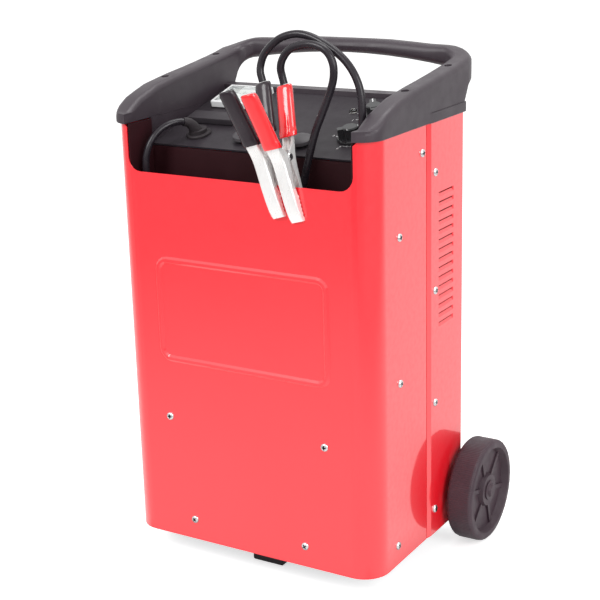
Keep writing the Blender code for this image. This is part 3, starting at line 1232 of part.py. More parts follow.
def make_dc_lead(cabinet, material, colour, route, side, layer):
    """A lead from its clamp into the well, then its stored coil, which ends in the grommet."""
    rows = layers(LEAD_R, 4)
    centre = (LEAD_COIL_X, lead_coil_z())
    y = rows[layer]
    pitch = 2 * LEAD_R + COIL_PITCH
    top = WELL_INSIDE_Z + 2 * CLEAR + GROMMET_FLANGE
    x = LEAD_COIL_X + side * LEAD_COIL_R
    exits = [(x, y + pitch, centre[1] - 0.012), (x, y + pitch, (centre[1] + top) / 2),
             (x, y + pitch, top + 2 * LEAD_R), (x, y + pitch, top)]
    coil = coil_points(centre, LEAD_COIL_R, LEAD_R, y, LEAD_TURNS, side, exits)
    gap = self_gap(coil, LEAD_R)
    start, way = lead_end(colour)
    meet = Vector(coil[0]) + Vector((0, 0, CLEAR))
    points = [start, start + way * 2 * LEAD_R] + above_cabinet(route) + [meet + Vector((0, 0, 2 * LEAD_R)), meet]
    run = smooth_route(points, LEAD_STEP * 2 * LEAD_R)
    place(tube(f"{colour}_lead", run, LEAD_R), cabinet, material)
    place(tube(f"{colour}_lead_coil", coil, LEAD_R, 1), cabinet, material)
    total = length_of(run) + length_of(coil)
    print(f"{colour} lead: {total:.3f} m, {length_of(run):.3f} m of it free; coil's least self-gap {gap * 1000:.2f} mm")


def mains_rows():
    """Y of the mains coil's two layers, in the middle of the well."""
    middle = (WELL_FRONT + WELL_WALL + WELL_REAR_Y - WELL_WALL) / 2
    half = MAINS_R + COIL_PITCH / 2
    return middle - half, middle + half


def mains_path():
    """The mains lead's middle line in short steps, from inside its gland's collar to its coil."""
    near, _ = mains_rows()
    lean = math.radians(GLAND_LEAN)
    way = Vector((-0.5 * math.cos(lean), -math.sqrt(0.75) * math.cos(lean), math.sin(lean)))
    after = panel_to_cabinet(GLAND_X, GLAND_V, GLAND_FLANGE)
    start = after - way * 2 * MAINS_R
    meet = Vector((MAINS_COIL_X - MAINS_COIL_R, near, mains_centre_z() + 2 * MAINS_R + CLEAR))
    points = [start, after] + above_cabinet(MAINS_ROUTE) + [meet + Vector((0, 0, 2 * MAINS_R)), meet]
    return smooth_route(points, MAINS_R)[1:]


def mains_centre_z():
    return WELL_INSIDE_Z + CLEAR + MAINS_COIL_R + MAINS_R


def make_mains(cabinet, rubber, black, brass):
    """The mains lead from its gland into the well, its stored coil and the plug on top of the coil."""
    near, far = mains_rows()
    centre = (MAINS_COIL_X, mains_centre_z())
    right = MAINS_COIL_X + MAINS_COIL_R
    plug_z = centre[1] + MAINS_COIL_R + MAINS_R + CLEAR + PLUG_BODY_R
    plug_x = right - PLUG_BEND_R - 2 * MAINS_R
    bend = arc((right - PLUG_BEND_R, plug_z - PLUG_BEND_R), PLUG_BEND_R, 0, 90, 6)
    middle = (near + far) / 2
    exits = []
    for i, (x, z) in enumerate(bend):
        exits.append((x, far + (middle - far) * i / 6, z))
    exits += [(plug_x, middle, plug_z)]
    coil = coil_points(centre, MAINS_COIL_R, MAINS_R, near, MAINS_TURNS, -1, exits)
    gap = self_gap(coil, MAINS_R)
    path = mains_path()[GLAND_BOOT:]
    first = path[0] + (path[1] - path[0]).normalized() * CLEAR
    run = [first, path[1], path[3]] + path[6:-3:4] + [path[-2], path[-1]]
    place(tube("mains_lead", run, MAINS_R), cabinet, rubber)
    place(tube("mains_lead_coil", coil, MAINS_R, 1), cabinet, rubber)
    make_plug(cabinet, black, brass, (plug_x - CLEAR, middle, plug_z))
    total = length_of(run) + length_of(coil)
    print(f"mains lead: {total:.3f} m, {length_of(run):.3f} m of it free; coil's least self-gap {gap * 1000:.2f} mm")


def make_plug(cabinet, black, brass, at):
    """A moulded plug with two pins, built towards +Z and laid along -X."""
    r, length = PLUG_BODY_R, PLUG_BODY
    profile = [(0, length), (r * 0.9, length), (r, length - 0.0015), (r, length - 0.014), (r * 0.72, length - 0.020),
               (r * 0.5, 0.010), (MAINS_R + 0.0015, 0.002), (MAINS_R + 0.0005, 0), (0, 0)]
    plug = turned("mains_plug", profile, 20)
    turn = Euler((0, math.radians(-90), 0))
    place(plug, cabinet, black, at, turn)
    for i, way in enumerate((-1, 1)):
        pin = cylinder(f"plug_pin_{i}", PLUG_PIN_R, (way * PLUG_PIN_SPREAD, 0, length - 0.002),
                       (way * PLUG_PIN_SPREAD, 0, length + PLUG_PIN), 10)
        pin.location, pin.rotation_euler = at, turn
        join(plug, pin, cabinet)


# ================================================================ assembly
def main():
    global parts, cutters
    clear_scene()
    parts = new_collection("battery_charger")
    cutters = new_collection("cutters")

    red = surface("red_paint", (0.80, 0.03, 0.03), 0.25)
    zinc = surface("zinc_steel", (0.62, 0.63, 0.65), 0.4, 1.0)
    bright = surface("bright_steel", (0.80, 0.80, 0.80), 0.2, 1.0)
    black_plastic = surface("black_plastic", (0.035, 0.035, 0.040), 0.5)
    wheel_plastic = surface("wheel_plastic", (0.035, 0.030, 0.030), 0.55)
    rubber = surface("black_rubber", (0.02, 0.02, 0.02), 0.7)
    cable = surface("cable_pvc", (0.012, 0.012, 0.014), 0.35)
    panel_sheet = surface("panel_paint", (0.09, 0.09, 0.10), 0.45)
    white = surface("white_plastic", (0.85, 0.85, 0.85), 0.35)
    dial_white = surface("dial_card", (0.9, 0.9, 0.88), 0.6)
    glass = surface("clear_plastic", (0.9, 0.95, 0.95), 0.05)
    gloss_black = surface("black_sleeve", (0.015, 0.015, 0.017), 0.25)
    gloss_red = surface("red_sleeve", (0.70, 0.01, 0.015), 0.25)
    laminations = surface("laminations", (0.20, 0.20, 0.22), 0.5, 1.0)
    card = surface("bobbin_card", (0.55, 0.48, 0.35), 0.7)
    copper = surface("copper_wire", (0.72, 0.32, 0.15), 0.35, 1.0)
    tape = surface("winding_tape", (0.65, 0.50, 0.15), 0.5)
    aluminium = surface("aluminium", (0.75, 0.76, 0.78), 0.35, 1.0)
    brass = surface("brass", (0.75, 0.58, 0.25), 0.3, 1.0)

    cabinet = empty("cabinet_frame", (0, CABINET_Y, CABINET_Z))
    board = empty("panel_frame", (0, PANEL_TOP_Y, PANEL_TOP_Z), (PANEL_SLOPE, 0, 0), cabinet)

    make_front_cover(cabinet, red)
    make_rear_cover(cabinet, red)
    make_base(cabinet, zinc)
    make_axle(cabinet, bright)
    make_foot(cabinet, rubber)
    for name, side in (("left", -1), ("right", 1)):
        make_axle_bracket(cabinet, zinc, f"axle_bracket_{name}", side)
        make_wheel(cabinet, wheel_plastic, f"wheel_{name}", side)
        make_wheel_cap(cabinet, wheel_plastic, f"wheel_cap_{name}", side)
    make_top(cabinet, black_plastic)
    make_well(cabinet, black_plastic)
    make_grommets(cabinet, rubber)
    make_panel(board, panel_sheet)
    make_meter(board, white, dial_white, gloss_black, glass)
    make_fuse_cover(board, black_plastic)
    make_gland(cabinet, board, rubber)
    make_lamp(board, glass)
    for side in BUTTON_X:
        make_button(board, rubber, black_plastic, side)
    for name in SELECTOR:
        make_selector(board, black_plastic, name)
    make_transformer(cabinet, laminations, card, copper, tape, zinc)
    make_rectifier(cabinet, aluminium, bright)
    make_clamp(cabinet, "black", bright, zinc, gloss_black)
    make_clamp(cabinet, "red", bright, zinc, gloss_red)
    make_dc_lead(cabinet, cable, "black", BLACK_ROUTE, 1, 2)
    make_dc_lead(cabinet, cable, "red", RED_ROUTE, -1, 0)
    make_mains(cabinet, cable, black_plastic, brass)


main()
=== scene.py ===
"""Looks for the wheeled car battery charger: materials, leads, sleeves, screws and printed scales."""
import math

import bpy
import bmesh
import numpy as np
from mathutils import Matrix, Vector


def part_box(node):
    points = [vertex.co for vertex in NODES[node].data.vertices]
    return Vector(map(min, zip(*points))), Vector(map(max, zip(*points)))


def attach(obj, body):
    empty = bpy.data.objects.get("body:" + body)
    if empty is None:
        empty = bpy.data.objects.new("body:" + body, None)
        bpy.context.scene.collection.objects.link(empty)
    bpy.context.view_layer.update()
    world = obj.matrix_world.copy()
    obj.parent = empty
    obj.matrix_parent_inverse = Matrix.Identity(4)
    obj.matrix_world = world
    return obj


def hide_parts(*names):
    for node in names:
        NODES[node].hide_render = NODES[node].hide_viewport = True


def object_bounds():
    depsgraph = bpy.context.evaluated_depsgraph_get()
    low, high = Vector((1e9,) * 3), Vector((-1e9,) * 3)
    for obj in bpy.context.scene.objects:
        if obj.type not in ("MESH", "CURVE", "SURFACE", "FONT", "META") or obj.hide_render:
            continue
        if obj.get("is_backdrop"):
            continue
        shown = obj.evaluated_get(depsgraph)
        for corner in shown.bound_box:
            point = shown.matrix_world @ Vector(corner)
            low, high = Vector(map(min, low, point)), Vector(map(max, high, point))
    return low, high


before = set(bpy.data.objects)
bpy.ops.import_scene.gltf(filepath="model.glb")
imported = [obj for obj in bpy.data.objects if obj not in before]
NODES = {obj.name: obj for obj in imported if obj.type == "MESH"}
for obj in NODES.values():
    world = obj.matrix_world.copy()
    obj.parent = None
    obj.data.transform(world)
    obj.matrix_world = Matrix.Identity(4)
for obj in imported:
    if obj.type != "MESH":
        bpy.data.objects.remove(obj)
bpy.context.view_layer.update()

# ================================================================ sizes taken over from the solids, in metres
CABINET = Vector((0, -0.03125, 0.0305))     # the cabinet's own origin, from which the rest is measured
CLEAR = 0.0003                              # between pieces that lie on each other
SIDE, REAR_SIDE, FRONT, HEIGHT = 0.167, 0.1687, -0.111, 0.495
SHEET, WELL_WALL = 0.0012, 0.002
WELL_FLOOR = 0.237
WELL_FRONT_FACE = FRONT + SHEET + 2 * CLEAR + WELL_WALL     # inside of the well's front wall
WELL_REAR_FACE = -0.0637 - WELL_WALL                        # and of its rear wall
CLAMP_Y = (FRONT + WELL_FRONT_FACE) / 2
PANEL_TOP = Vector((0, 0.088, 0.5075))                      # middle of the control panel's upper edge
PANEL_SLOPE = math.atan2(0.5075 - 0.466, 0.088 + 0.064)     # from there to its lower edge
LEAD_R, MAINS_R = 0.00425, 0.0040
COIL_GAP = 0.0006                           # between the turns of a stored lead
LEAD_COIL_R, LEAD_TURNS, LEAD_COIL_X = 0.056, 4.0, 0.070
MAINS_COIL_R, MAINS_TURNS, MAINS_COIL_X = 0.058, 5.5, -0.076
GROMMET_FLANGE = 0.0025
PLUG_BODY_R, PLUG_BEND_R = 0.0185, 0.030
PLUG_END = -0.0563 - 0.045                  # X at which the plug's pins leave its body
GLAND_X, GLAND_V, GLAND_FLANGE = -0.099, 0.127, 0.003       # the gland's place on the panel, and its flange
GLAND_LEAN = math.radians(50.0)             # above level, at which its boot leaves
GLAND_BOOT = 6                              # length of the boot, in steps of the lead's path
TREAD_START, TREAD_FULL = 0.0600, 0.0615    # from the axle: where the tread's grooves begin and are full
SLEEVE_HALF_X, SLEEVE_HALF_Y, SLEEVE_WALL = 0.0100, 0.0065, 0.0012
SLEEVE_START = {-1: 0.012, 1: 0.020}        # lower end of the front and the rear sleeve
METER_X, PIVOT_V = -0.098, 0.030 + 0.0165   # the needle's pivot on the panel
METER_FLOOR, DIAL_SHEET = 0.0030, 0.0006    # the dial lies on the case's floor, this far out of the panel
KNOB_WING = 0.0155 - 0.0006                 # top of a knob's pointer over the panel
KNOB_STEP, METER_STEP = 45, 9               # degrees between the marks of a selector and of the meter
COVER_SCREW_R, COVER_SCREW_HEIGHT = 0.0047, 0.0026
RAIL_SCREW_R, RAIL_SCREW_HEIGHT = 0.0038, 0.0015
RAIL_X, RAIL_SCREW_SINK = 0.157, 0.009 * 0.3
PRINT_OUT = 0.00008                         # print stands this far off the panel

# ================================================================ looks
CAMERA_AT = (0.8362, -1.39205, 0.7901)
CAMERA_ANGLES = (30.936, 16.655, -1.468)    # azimuth, elevation and roll in degrees
CAMERA_LENS, CAMERA_SENSOR = 84.95, 36
IMAGE, IMAGE_CENTRE = 600, (307.47, 296.65)     # the image and the optical axis in it, in pixels
WORLD_LIGHT = 0.62
FLOOR_DROP = 0.0004
FLOOR_GLOW = 0.60       # added for the camera to what the lamps light on the floor
GLOSS_FAR = 0.36        # brightness of the far front floor in reflections
GLOSS_RIGHT = 0.50      # and of the far floor at the right
PAINTED_SHADOW_REACH, PAINTED_SHADOW_DEPTH = 0.06, 0.35     # the cabinet's painted shadow in reflections of the floor
WAVE_UNIT = 0.314159    # pitch of a wave texture's bands at scale 1
WELD = 0.00001          # points closer than this count as one
ROUND_ANGLE = 34.0      # edges sharper than this stay sharp, in degrees


# ================================================================ camera, light and floor
def make_camera():
    a, e, roll = (math.radians(angle) for angle in CAMERA_ANGLES)
    back = Vector((math.sin(a) * math.cos(e), -math.cos(a) * math.cos(e), math.sin(e)))
    right = (-back).cross(Vector((0, 0, 1))).normalized()
    up = right.cross(-back)
    c, s = math.cos(roll), math.sin(roll)
    placed = Matrix((right * c + up * s, -right * s + up * c, back)).transposed().to_4x4()
    placed.translation = CAMERA_AT
    data = bpy.data.cameras.new("camera")
    data.sensor_width = CAMERA_SENSOR
    data.lens = CAMERA_LENS
    data.shift_x = -(IMAGE_CENTRE[0] - IMAGE / 2) / IMAGE
    data.shift_y = (IMAGE_CENTRE[1] - IMAGE / 2) / IMAGE
    data.clip_end = 60
    camera = bpy.data.objects.new("camera", data)
    bpy.context.scene.collection.objects.link(camera)
    camera.matrix_world = placed
    bpy.context.scene.camera = camera


def area_light(name, at, aim, size, watts):
    data = bpy.data.lights.new(name, "AREA")
    data.shape = "RECTANGLE"
    data.size, data.size_y = size
    data.energy = watts
    light = bpy.data.objects.new(name, data)
    bpy.context.scene.collection.objects.link(light)
    light.location = at
    light.rotation_mode = "QUATERNION"
    light.rotation_quaternion = (Vector(aim) - Vector(at)).to_track_quat("-Z", "Y")


def direct_ray(nodes, links):
    """1 for camera, glossy and transmission rays, which see the white background."""
    path = nodes.new("ShaderNodeLightPath")
    first = nodes.new("ShaderNodeMath")
    first.operation = "MAXIMUM"
    links.new(path.outputs["Is Camera Ray"], first.inputs[0])
    links.new(path.outputs["Is Glossy Ray"], first.inputs[1])
    both = nodes.new("ShaderNodeMath")
    both.operation = "MAXIMUM"
    links.new(first.outputs[0], both.inputs[0])
    links.new(path.outputs["Is Transmission Ray"], both.inputs[1])
    return both.outputs[0]


def make_world():
    """A white background that lights the object at its own, lower strength."""
    world = bpy.data.worlds.new("studio")
    bpy.context.scene.world = world
    world.use_nodes = True
    nodes, links = world.node_tree.nodes, world.node_tree.links
    nodes.clear()
    seen = nodes.new("ShaderNodeBackground")
    seen.inputs["Color"].default_value = (1, 1, 1, 1)
    seen.inputs["Strength"].default_value = 1.0
    lit = nodes.new("ShaderNodeBackground")
    lit.inputs["Color"].default_value = (1.0, 0.99, 0.985, 1)
    lit.inputs["Strength"].default_value = WORLD_LIGHT
    mix = nodes.new("ShaderNodeMixShader")
    links.new(direct_ray(nodes, links), mix.inputs[0])
    links.new(lit.outputs[0], mix.inputs[1])
    links.new(seen.outputs[0], mix.inputs[2])
    out = nodes.new("ShaderNodeOutputWorld")
    links.new(mix.outputs[0], out.inputs["Surface"])


def make_floor():
    """White paper: lit by the lamps for the camera, and a smooth field of brightness in reflections, with a
    painted shadow close to the cabinet.
    """
    bm = bmesh.new()
    bmesh.ops.create_grid(bm, x_segments=1, y_segments=1, size=14)
    data = bpy.data.meshes.new("floor")
    bm.to_mesh(data)
    bm.free()
    floor = bpy.data.objects.new("floor", data)
    floor.location.z = -FLOOR_DROP
    bpy.context.scene.collection.objects.link(floor)
    material = bpy.data.materials.new("floor_white")
    material.use_nodes = True
    nodes, links = material.node_tree.nodes, material.node_tree.links
    shader = nodes["Principled BSDF"]
    shader.inputs["Base Color"].default_value = (0.86, 0.86, 0.86, 1)
    shader.inputs["Roughness"].default_value = 1.0
    shader.inputs["Specular IOR Level"].default_value = 0.0
    shader.inputs["Emission Color"].default_value = (1, 1, 1, 1)
    path = nodes.new("ShaderNodeLightPath")
    eye = nodes.new("ShaderNodeMath")
    eye.operation = "MULTIPLY"
    eye.inputs[1].default_value = FLOOR_GLOW
    links.new(path.outputs["Is Camera Ray"], eye.inputs[0])
    links.new(eye.outputs[0], shader.inputs["Emission Strength"])
    # in the paint's gloss the paper is white close by and at the back, and darker in front and at the right
    place = nodes.new("ShaderNodeNewGeometry")
    shades = []
    for direction, start, end, far in (((-0.55, -0.83, 0), 0.05, 1.9, GLOSS_FAR),
                                       ((0.82, -0.49, 0), 0.45, 1.25, GLOSS_RIGHT)):
        along = nodes.new("ShaderNodeVectorMath")
        along.operation = "DOT_PRODUCT"
        along.inputs[1].default_value = direction
        links.new(place.outputs["Position"], along.inputs[0])
        fall = nodes.new("ShaderNodeMapRange")
        fall.interpolation_type = "SMOOTHSTEP"
        for key, value in (("From Min", start), ("From Max", end), ("To Min", 1.0), ("To Max", far)):
            fall.inputs[key].default_value = value
        links.new(along.outputs["Value"], fall.inputs["Value"])
        shades.append(fall)
    # painted shadow: close to the cabinet the paper is darker in reflections, where the cabinet's own shadow
    # lies
    previous = place.outputs["Position"]
    for operation, vector in (("SUBTRACT", (0, CABINET.y, 0)), ("ABSOLUTE", None),
                              ("SUBTRACT", (SIDE, -FRONT, 0))):
        step = nodes.new("ShaderNodeVectorMath")
        step.operation = operation
        links.new(previous, step.inputs[0])
        if vector:
            step.inputs[1].default_value = vector
        previous = step.outputs["Vector"]
    split = nodes.new("ShaderNodeSeparateXYZ")
    links.new(previous, split.inputs[0])
    gap = nodes.new("ShaderNodeMath")
    gap.operation = "MAXIMUM"
    links.new(split.outputs[0], gap.inputs[0])
    links.new(split.outputs[1], gap.inputs[1])
    near = nodes.new("ShaderNodeMapRange")
    shadow = {"From Min": 0.0, "From Max": PAINTED_SHADOW_REACH, "To Min": PAINTED_SHADOW_DEPTH, "To Max": 1.0}
    for key, value in shadow.items():
        near.inputs[key].default_value = value
    links.new(gap.outputs[0], near.inputs["Value"])
    strength = near.outputs[0]
    for fall in shades:
        both = nodes.new("ShaderNodeMath")
        both.operation = "MULTIPLY"
        links.new(strength, both.inputs[0])
        links.new(fall.outputs[0], both.inputs[1])
        strength = both.outputs[0]
    paper = nodes.new("ShaderNodeEmission")
    links.new(strength, paper.inputs["Strength"])
    mirror = nodes.new("ShaderNodeMath")
    mirror.operation = "MAXIMUM"
    links.new(path.outputs["Is Glossy Ray"], mirror.inputs[0])
    links.new(path.outputs["Is Transmission Ray"], mirror.inputs[1])
    mix = nodes.new("ShaderNodeMixShader")
    links.new(mirror.outputs[0], mix.inputs[0])
    links.new(shader.outputs[0], mix.inputs[1])
    links.new(paper.outputs[0], mix.inputs[2])
    links.new(mix.outputs[0], nodes["Material Output"].inputs["Surface"])
    data.materials.append(material)
    floor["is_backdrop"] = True


make_camera()
make_world()
make_floor()
area_light("key", (-0.7, -2.25, 2.1), (0, 0, 0.3), (1.4, 1.1), 42)
area_light("fill", (2.2, -0.9, 1.5), (0, 0, 0.3), (1.4, 1.4), 33)
area_light("top", (0.2, 0.5, 2.4), (0, 0, 0.4), (1.2, 1.2), 16)
bpy.context.scene.view_settings.view_transform = "Standard"


# ================================================================ materials
class Surface:
    """A Principled material with a few short ways to vary it."""

    def __init__(self, name, colour, roughness, metallic=0.0, **sockets):
        self.material = bpy.data.materials.new(name)
        self.material.use_nodes = True
        self.nodes, self.links = self.material.node_tree.nodes, self.material.node_tree.links
        self.shader = self.nodes["Principled BSDF"]
        self.shader.inputs["Base Color"].default_value = (*colour, 1)
        self.shader.inputs["Roughness"].default_value = roughness
        self.shader.inputs["Metallic"].default_value = metallic
        for key, value in sockets.items():
            self.shader.inputs[key.replace("_", " ")].default_value = value
        self.colour = colour
        self.place = self.nodes.new("ShaderNodeTexCoord").outputs["Object"]
        self.normal = None

    def node(self, kind, **settings):
        made = self.nodes.new("ShaderNode" + kind)
        for key, value in settings.items():
            setattr(made, key, value)
        return made

    def scaled(self, stretch):
        mapping = self.node("Mapping")
        mapping.inputs["Scale"].default_value = stretch
        self.links.new(self.place, mapping.inputs["Vector"])
        return mapping.outputs[0]

    def noise(self, scale, detail=3.0, stretch=(1, 1, 1)):
        noise = self.node("TexNoise")
        noise.inputs["Scale"].default_value = scale
        noise.inputs["Detail"].default_value = detail
        self.links.new(self.scaled(stretch), noise.inputs["Vector"])
        return noise.outputs["Fac"]

    def bands(self, pitch, axis, profile="SIN"):
        """Bands across one axis, pitch metres apart."""
        wave = self.node("TexWave", wave_type="BANDS", bands_direction=axis, wave_profile=profile)
        wave.inputs["Scale"].default_value = WAVE_UNIT / pitch
        self.links.new(self.place, wave.inputs["Vector"])
        return wave.outputs["Fac"]

    def spread(self, value, low, high, start=0.3, end=0.7):
        """low to high as value goes from start to end."""
        fit = self.node("MapRange")
        for key, number in (("From Min", start), ("From Max", end), ("To Min", low), ("To Max", high)):
            fit.inputs[key].default_value = number
        self.links.new(value, fit.inputs["Value"])
        return fit.outputs[0]

    def tint(self, value, other, start=0.3, end=0.7):
        """Goes from the base colour to another as value rises."""
        mix = self.node("Mix", data_type="RGBA")
        mix.inputs["A"].default_value = (*self.colour, 1)
        mix.inputs["B"].default_value = (*other, 1)
        before = self.shader.inputs["Base Color"].links
        if before:
            self.links.new(before[0].from_socket, mix.inputs["A"])
        self.links.new(self.spread(value, 0, 1, start, end), mix.inputs["Factor"])
        self.links.new(mix.outputs["Result"], self.shader.inputs["Base Color"])
        return self

    def rough(self, value, low, high):
        """Roughness between low and high."""
        self.links.new(self.spread(value, low, high), self.shader.inputs["Roughness"])
        return self

    def bump(self, value, strength, distance, coat=False):
        """Fine relief on top of what is there, with coat also in the clear coat."""
        bump = self.node("Bump")
        bump.inputs["Strength"].default_value = strength
        bump.inputs["Distance"].default_value = distance
        self.links.new(value, bump.inputs["Height"])
        if self.normal:
            self.links.new(self.normal, bump.inputs["Normal"])
        self.normal = bump.outputs[0]
        self.links.new(self.normal, self.shader.inputs["Normal"])
        if coat:
            self.links.new(self.normal, self.shader.inputs["Coat Normal"])
        return self


def red_paint():
    """Glossy paint with a slight orange peel."""
    s = Surface("red_paint", (0.93, 0.010, 0.022), 0.34, Coat_Weight=1.0, Coat_Roughness=0.05, Coat_IOR=1.70)
    s.tint(s.noise(5, 4), (0.88, 0.006, 0.017), 0.35, 0.75)
    s.rough(s.noise(160, 3), 0.28, 0.40)
    return s.bump(s.noise(140, 2), 0.04, 0.00003, coat=True).material


def moulded(name, colour, light, low, high, grain=750, **more):
    """Grained plastic or rubber."""
    s = Surface(name, colour, (low + high) / 2, **more)
    s.tint(s.noise(14, 5), light, 0.4, 0.8)
    s.rough(s.noise(55, 4), low, high)
    return s.bump(s.noise(grain, 3), 0.35, 0.00016).material


def wheel_plastic(name, centre):
    """Hard plastic with fine cross grooves round the tread."""
    s = Surface(name, (0.045, 0.026, 0.036), 0.52, Specular_IOR_Level=0.38)
    s.tint(s.noise(26, 5), (0.068, 0.043, 0.055), 0.4, 0.85)
    s.rough(s.noise(70, 4), 0.40, 0.60)
    split = s.node("SeparateXYZ")
    s.links.new(s.place, split.inputs[0])

    def math_node(kind, a, b=None):
        made = s.node("Math", operation=kind)
        for slot, value in enumerate((a, b)):
            if value is None:
                continue
            if isinstance(value, (int, float)):
                made.inputs[slot].default_value = value
            else:
                s.links.new(value, made.inputs[slot])
        return made.outputs[0]

    y = math_node("SUBTRACT", split.outputs[1], centre[1])
    z = math_node("SUBTRACT", split.outputs[2], centre[2])
    turn = math_node("ARCTAN2", z, y)
    wave = math_node("SINE", math_node("MULTIPLY", turn, 150))
    reach = math_node("SQRT", math_node("ADD", math_node("MULTIPLY", y, y), math_node("MULTIPLY", z, z)))
    on_tread = s.spread(reach, 0, 1, TREAD_START, TREAD_FULL)
    s.bump(math_node("MULTIPLY", wave, on_tread), 0.45, 0.00030)
    return s.bump(s.noise(420, 4), 0.4, 0.00022).material


def sheen_plastic(name, colour, deep, low, high, wobble=0.0, **more):
    """Smooth plastic, wavy where wobble gives a depth."""
    s = Surface(name, colour, (low + high) / 2, **more)
    s.tint(s.noise(30, 3), deep, 0.35, 0.8)
    s.rough(s.noise(90, 3), low, high)
    if wobble:
        s.bump(s.noise(70, 2), 0.5, wobble, coat="Coat_Weight" in more)
    return s.bump(s.noise(900, 2), 0.2, 0.00006, coat="Coat_Weight" in more).material


def metal(name, colour, dull, low, high, stretch=(1, 1, 1), metallic=1.0):
    """Bare metal. A small number in stretch draws its marks out along that axis."""
    s = Surface(name, colour, (low + high) / 2, metallic)
    s.tint(s.noise(40, 5), dull, 0.4, 0.8)
    s.rough(s.noise(120, 4, stretch), low, high)
    return s.bump(s.noise(500, 3, stretch), 0.3, 0.00005).material


def zinc_plate(name):
    s = Surface(name, (0.60, 0.61, 0.63), 0.36, 1.0)
    cells = s.node("TexVoronoi")
    cells.inputs["Scale"].default_value = 130
    s.links.new(s.place, cells.inputs["Vector"])
    s.tint(cells.outputs["Distance"], (0.48, 0.50, 0.54), 0.1, 0.9)
    s.rough(s.noise(60, 4), 0.28, 0.46)
    return s.bump(s.noise(400, 3), 0.2, 0.00006).material


def laminated(name):
    s = Surface(name, (0.20, 0.20, 0.22), 0.45, 0.75)
    sheets = s.bands(0.00050, "Y")
    s.tint(sheets, (0.06, 0.06, 0.07), 0.0, 0.45)
    s.tint(s.noise(60, 5), (0.24, 0.17, 0.12), 0.62, 0.80)
    return s.bump(sheets, 0.6, 0.00012).material


def winding(name, colour, deep, pitch, axis, profile, rough, metallic, depth):
    """Turns of wire or tape, pitch apart."""
    s = Surface(name, colour, rough, metallic)
    turns = s.bands(pitch, axis, profile)
    s.tint(turns, deep, 0.0, 0.6)
    s.tint(s.noise(45, 4), deep, 0.5, 0.9)
    return s.bump(turns, 0.7, depth).material


def pressboard(name):
    s = Surface(name, (0.50, 0.42, 0.28), 0.75)
    s.tint(s.noise(350, 5, (1, 1, 0.25)), (0.38, 0.30, 0.18), 0.4, 0.7)
    return s.bump(s.noise(500, 4), 0.4, 0.00010).material


def panel_paint(name):
    s = Surface(name, (0.024, 0.019, 0.024), 0.46, Specular_IOR_Level=0.22)
    s.tint(s.noise(1500, 2), (0.048, 0.041, 0.049), 0.55, 0.75)
    s.rough(s.noise(45, 4), 0.38, 0.54)
    return s.bump(s.noise(900, 2), 0.18, 0.00007).material


def clear(name, colour, rough=0.02):
    s = Surface(name, colour, rough, Transmission_Weight=1.0, IOR=1.49)
    s.rough(s.noise(40, 3), rough, rough + 0.03)
    return s.material


def plug_material(name, edge):
    """Black moulded body, brass pins beyond edge on -X."""
    body, brass = (0.020, 0.020, 0.022), (0.80, 0.60, 0.28)
    s = Surface(name, body, 0.4)
    split = s.node("SeparateXYZ")
    s.links.new(s.place, split.inputs[0])
    pins = s.spread(split.outputs[0], 1, 0, edge - 0.0003, edge + 0.0003)
    mix = s.node("Mix", data_type="RGBA")
    mix.inputs["A"].default_value = (*body, 1)
    mix.inputs["B"].default_value = (*brass, 1)
    s.links.new(pins, mix.inputs["Factor"])
    s.links.new(mix.outputs["Result"], s.shader.inputs["Base Color"])
    s.links.new(pins, s.shader.inputs["Metallic"])
    s.rough(s.noise(80, 3), 0.25, 0.5)
    return s.bump(s.noise(800, 2), 0.25, 0.00008).material


RED = red_paint()
TOP = moulded("black_moulding", (0.036, 0.026, 0.034), (0.050, 0.038, 0.047), 0.36, 0.50)
WELL = moulded("well_moulding", (0.024, 0.005, 0.007), (0.034, 0.008, 0.011), 0.45, 0.60,
               Specular_IOR_Level=0.15)
PANEL = panel_paint("panel_paint")
KNOB = sheen_plastic("knob_black", (0.018, 0.018, 0.020), (0.028, 0.028, 0.031), 0.10, 0.20)
SWITCH = moulded("switch_body", (0.050, 0.050, 0.055), (0.075, 0.075, 0.080), 0.45, 0.60, 500)
BREAKER = moulded("breaker_body", (0.060, 0.035, 0.028), (0.085, 0.050, 0.040), 0.40, 0.55, 500)
FUSE = moulded("fuse_black", (0.030, 0.025, 0.030), (0.046, 0.040, 0.046), 0.42, 0.56, 900,
               Specular_IOR_Level=0.3)
BUTTON = moulded("button_rubber", (0.050, 0.045, 0.051), (0.076, 0.070, 0.077), 0.40, 0.58, 650)
RUBBER = moulded("black_rubber", (0.022, 0.017, 0.020), (0.034, 0.027, 0.031), 0.55, 0.75, 500,
                 Specular_IOR_Level=0.35)
WHITE = sheen_plastic("meter_white", (0.84, 0.84, 0.84), (0.78, 0.79, 0.80), 0.16, 0.26)
CARD = sheen_plastic("dial_card", (0.88, 0.88, 0.86), (0.84, 0.84, 0.82), 0.55, 0.70)
WINDOW = clear("meter_window", (0.96, 0.98, 0.98))
LENS = clear("lamp_lens", (0.95, 0.93, 0.88), 0.06)
PVC = sheen_plastic("cable_pvc", (0.014, 0.011, 0.015), (0.023, 0.019, 0.024), 0.20, 0.32, 0.00015,
                    Specular_IOR_Level=0.34)
RED_SLEEVE = sheen_plastic("red_sleeve", (0.92, 0.012, 0.018), (0.84, 0.010, 0.014), 0.14, 0.26, 0.0007,
                           Coat_Weight=1.0, Coat_Roughness=0.08, Coat_IOR=1.50)
BLACK_SLEEVE = sheen_plastic("black_sleeve", (0.018, 0.011, 0.016), (0.029, 0.020, 0.026), 0.16, 0.28, 0.0007,
                             Coat_Weight=0.15, Coat_Roughness=0.08, Specular_IOR_Level=0.40)
JAW = metal("jaw_steel", (0.97, 0.965, 0.955), (0.87, 0.865, 0.85), 0.20, 0.36, (1, 1, 0.15), metallic=0.45)
BRIGHT = metal("bright_steel", (0.82, 0.82, 0.82), (0.70, 0.70, 0.71), 0.14, 0.26)
SPRING = metal("spring_steel", (0.55, 0.55, 0.57), (0.42, 0.42, 0.44), 0.22, 0.36)
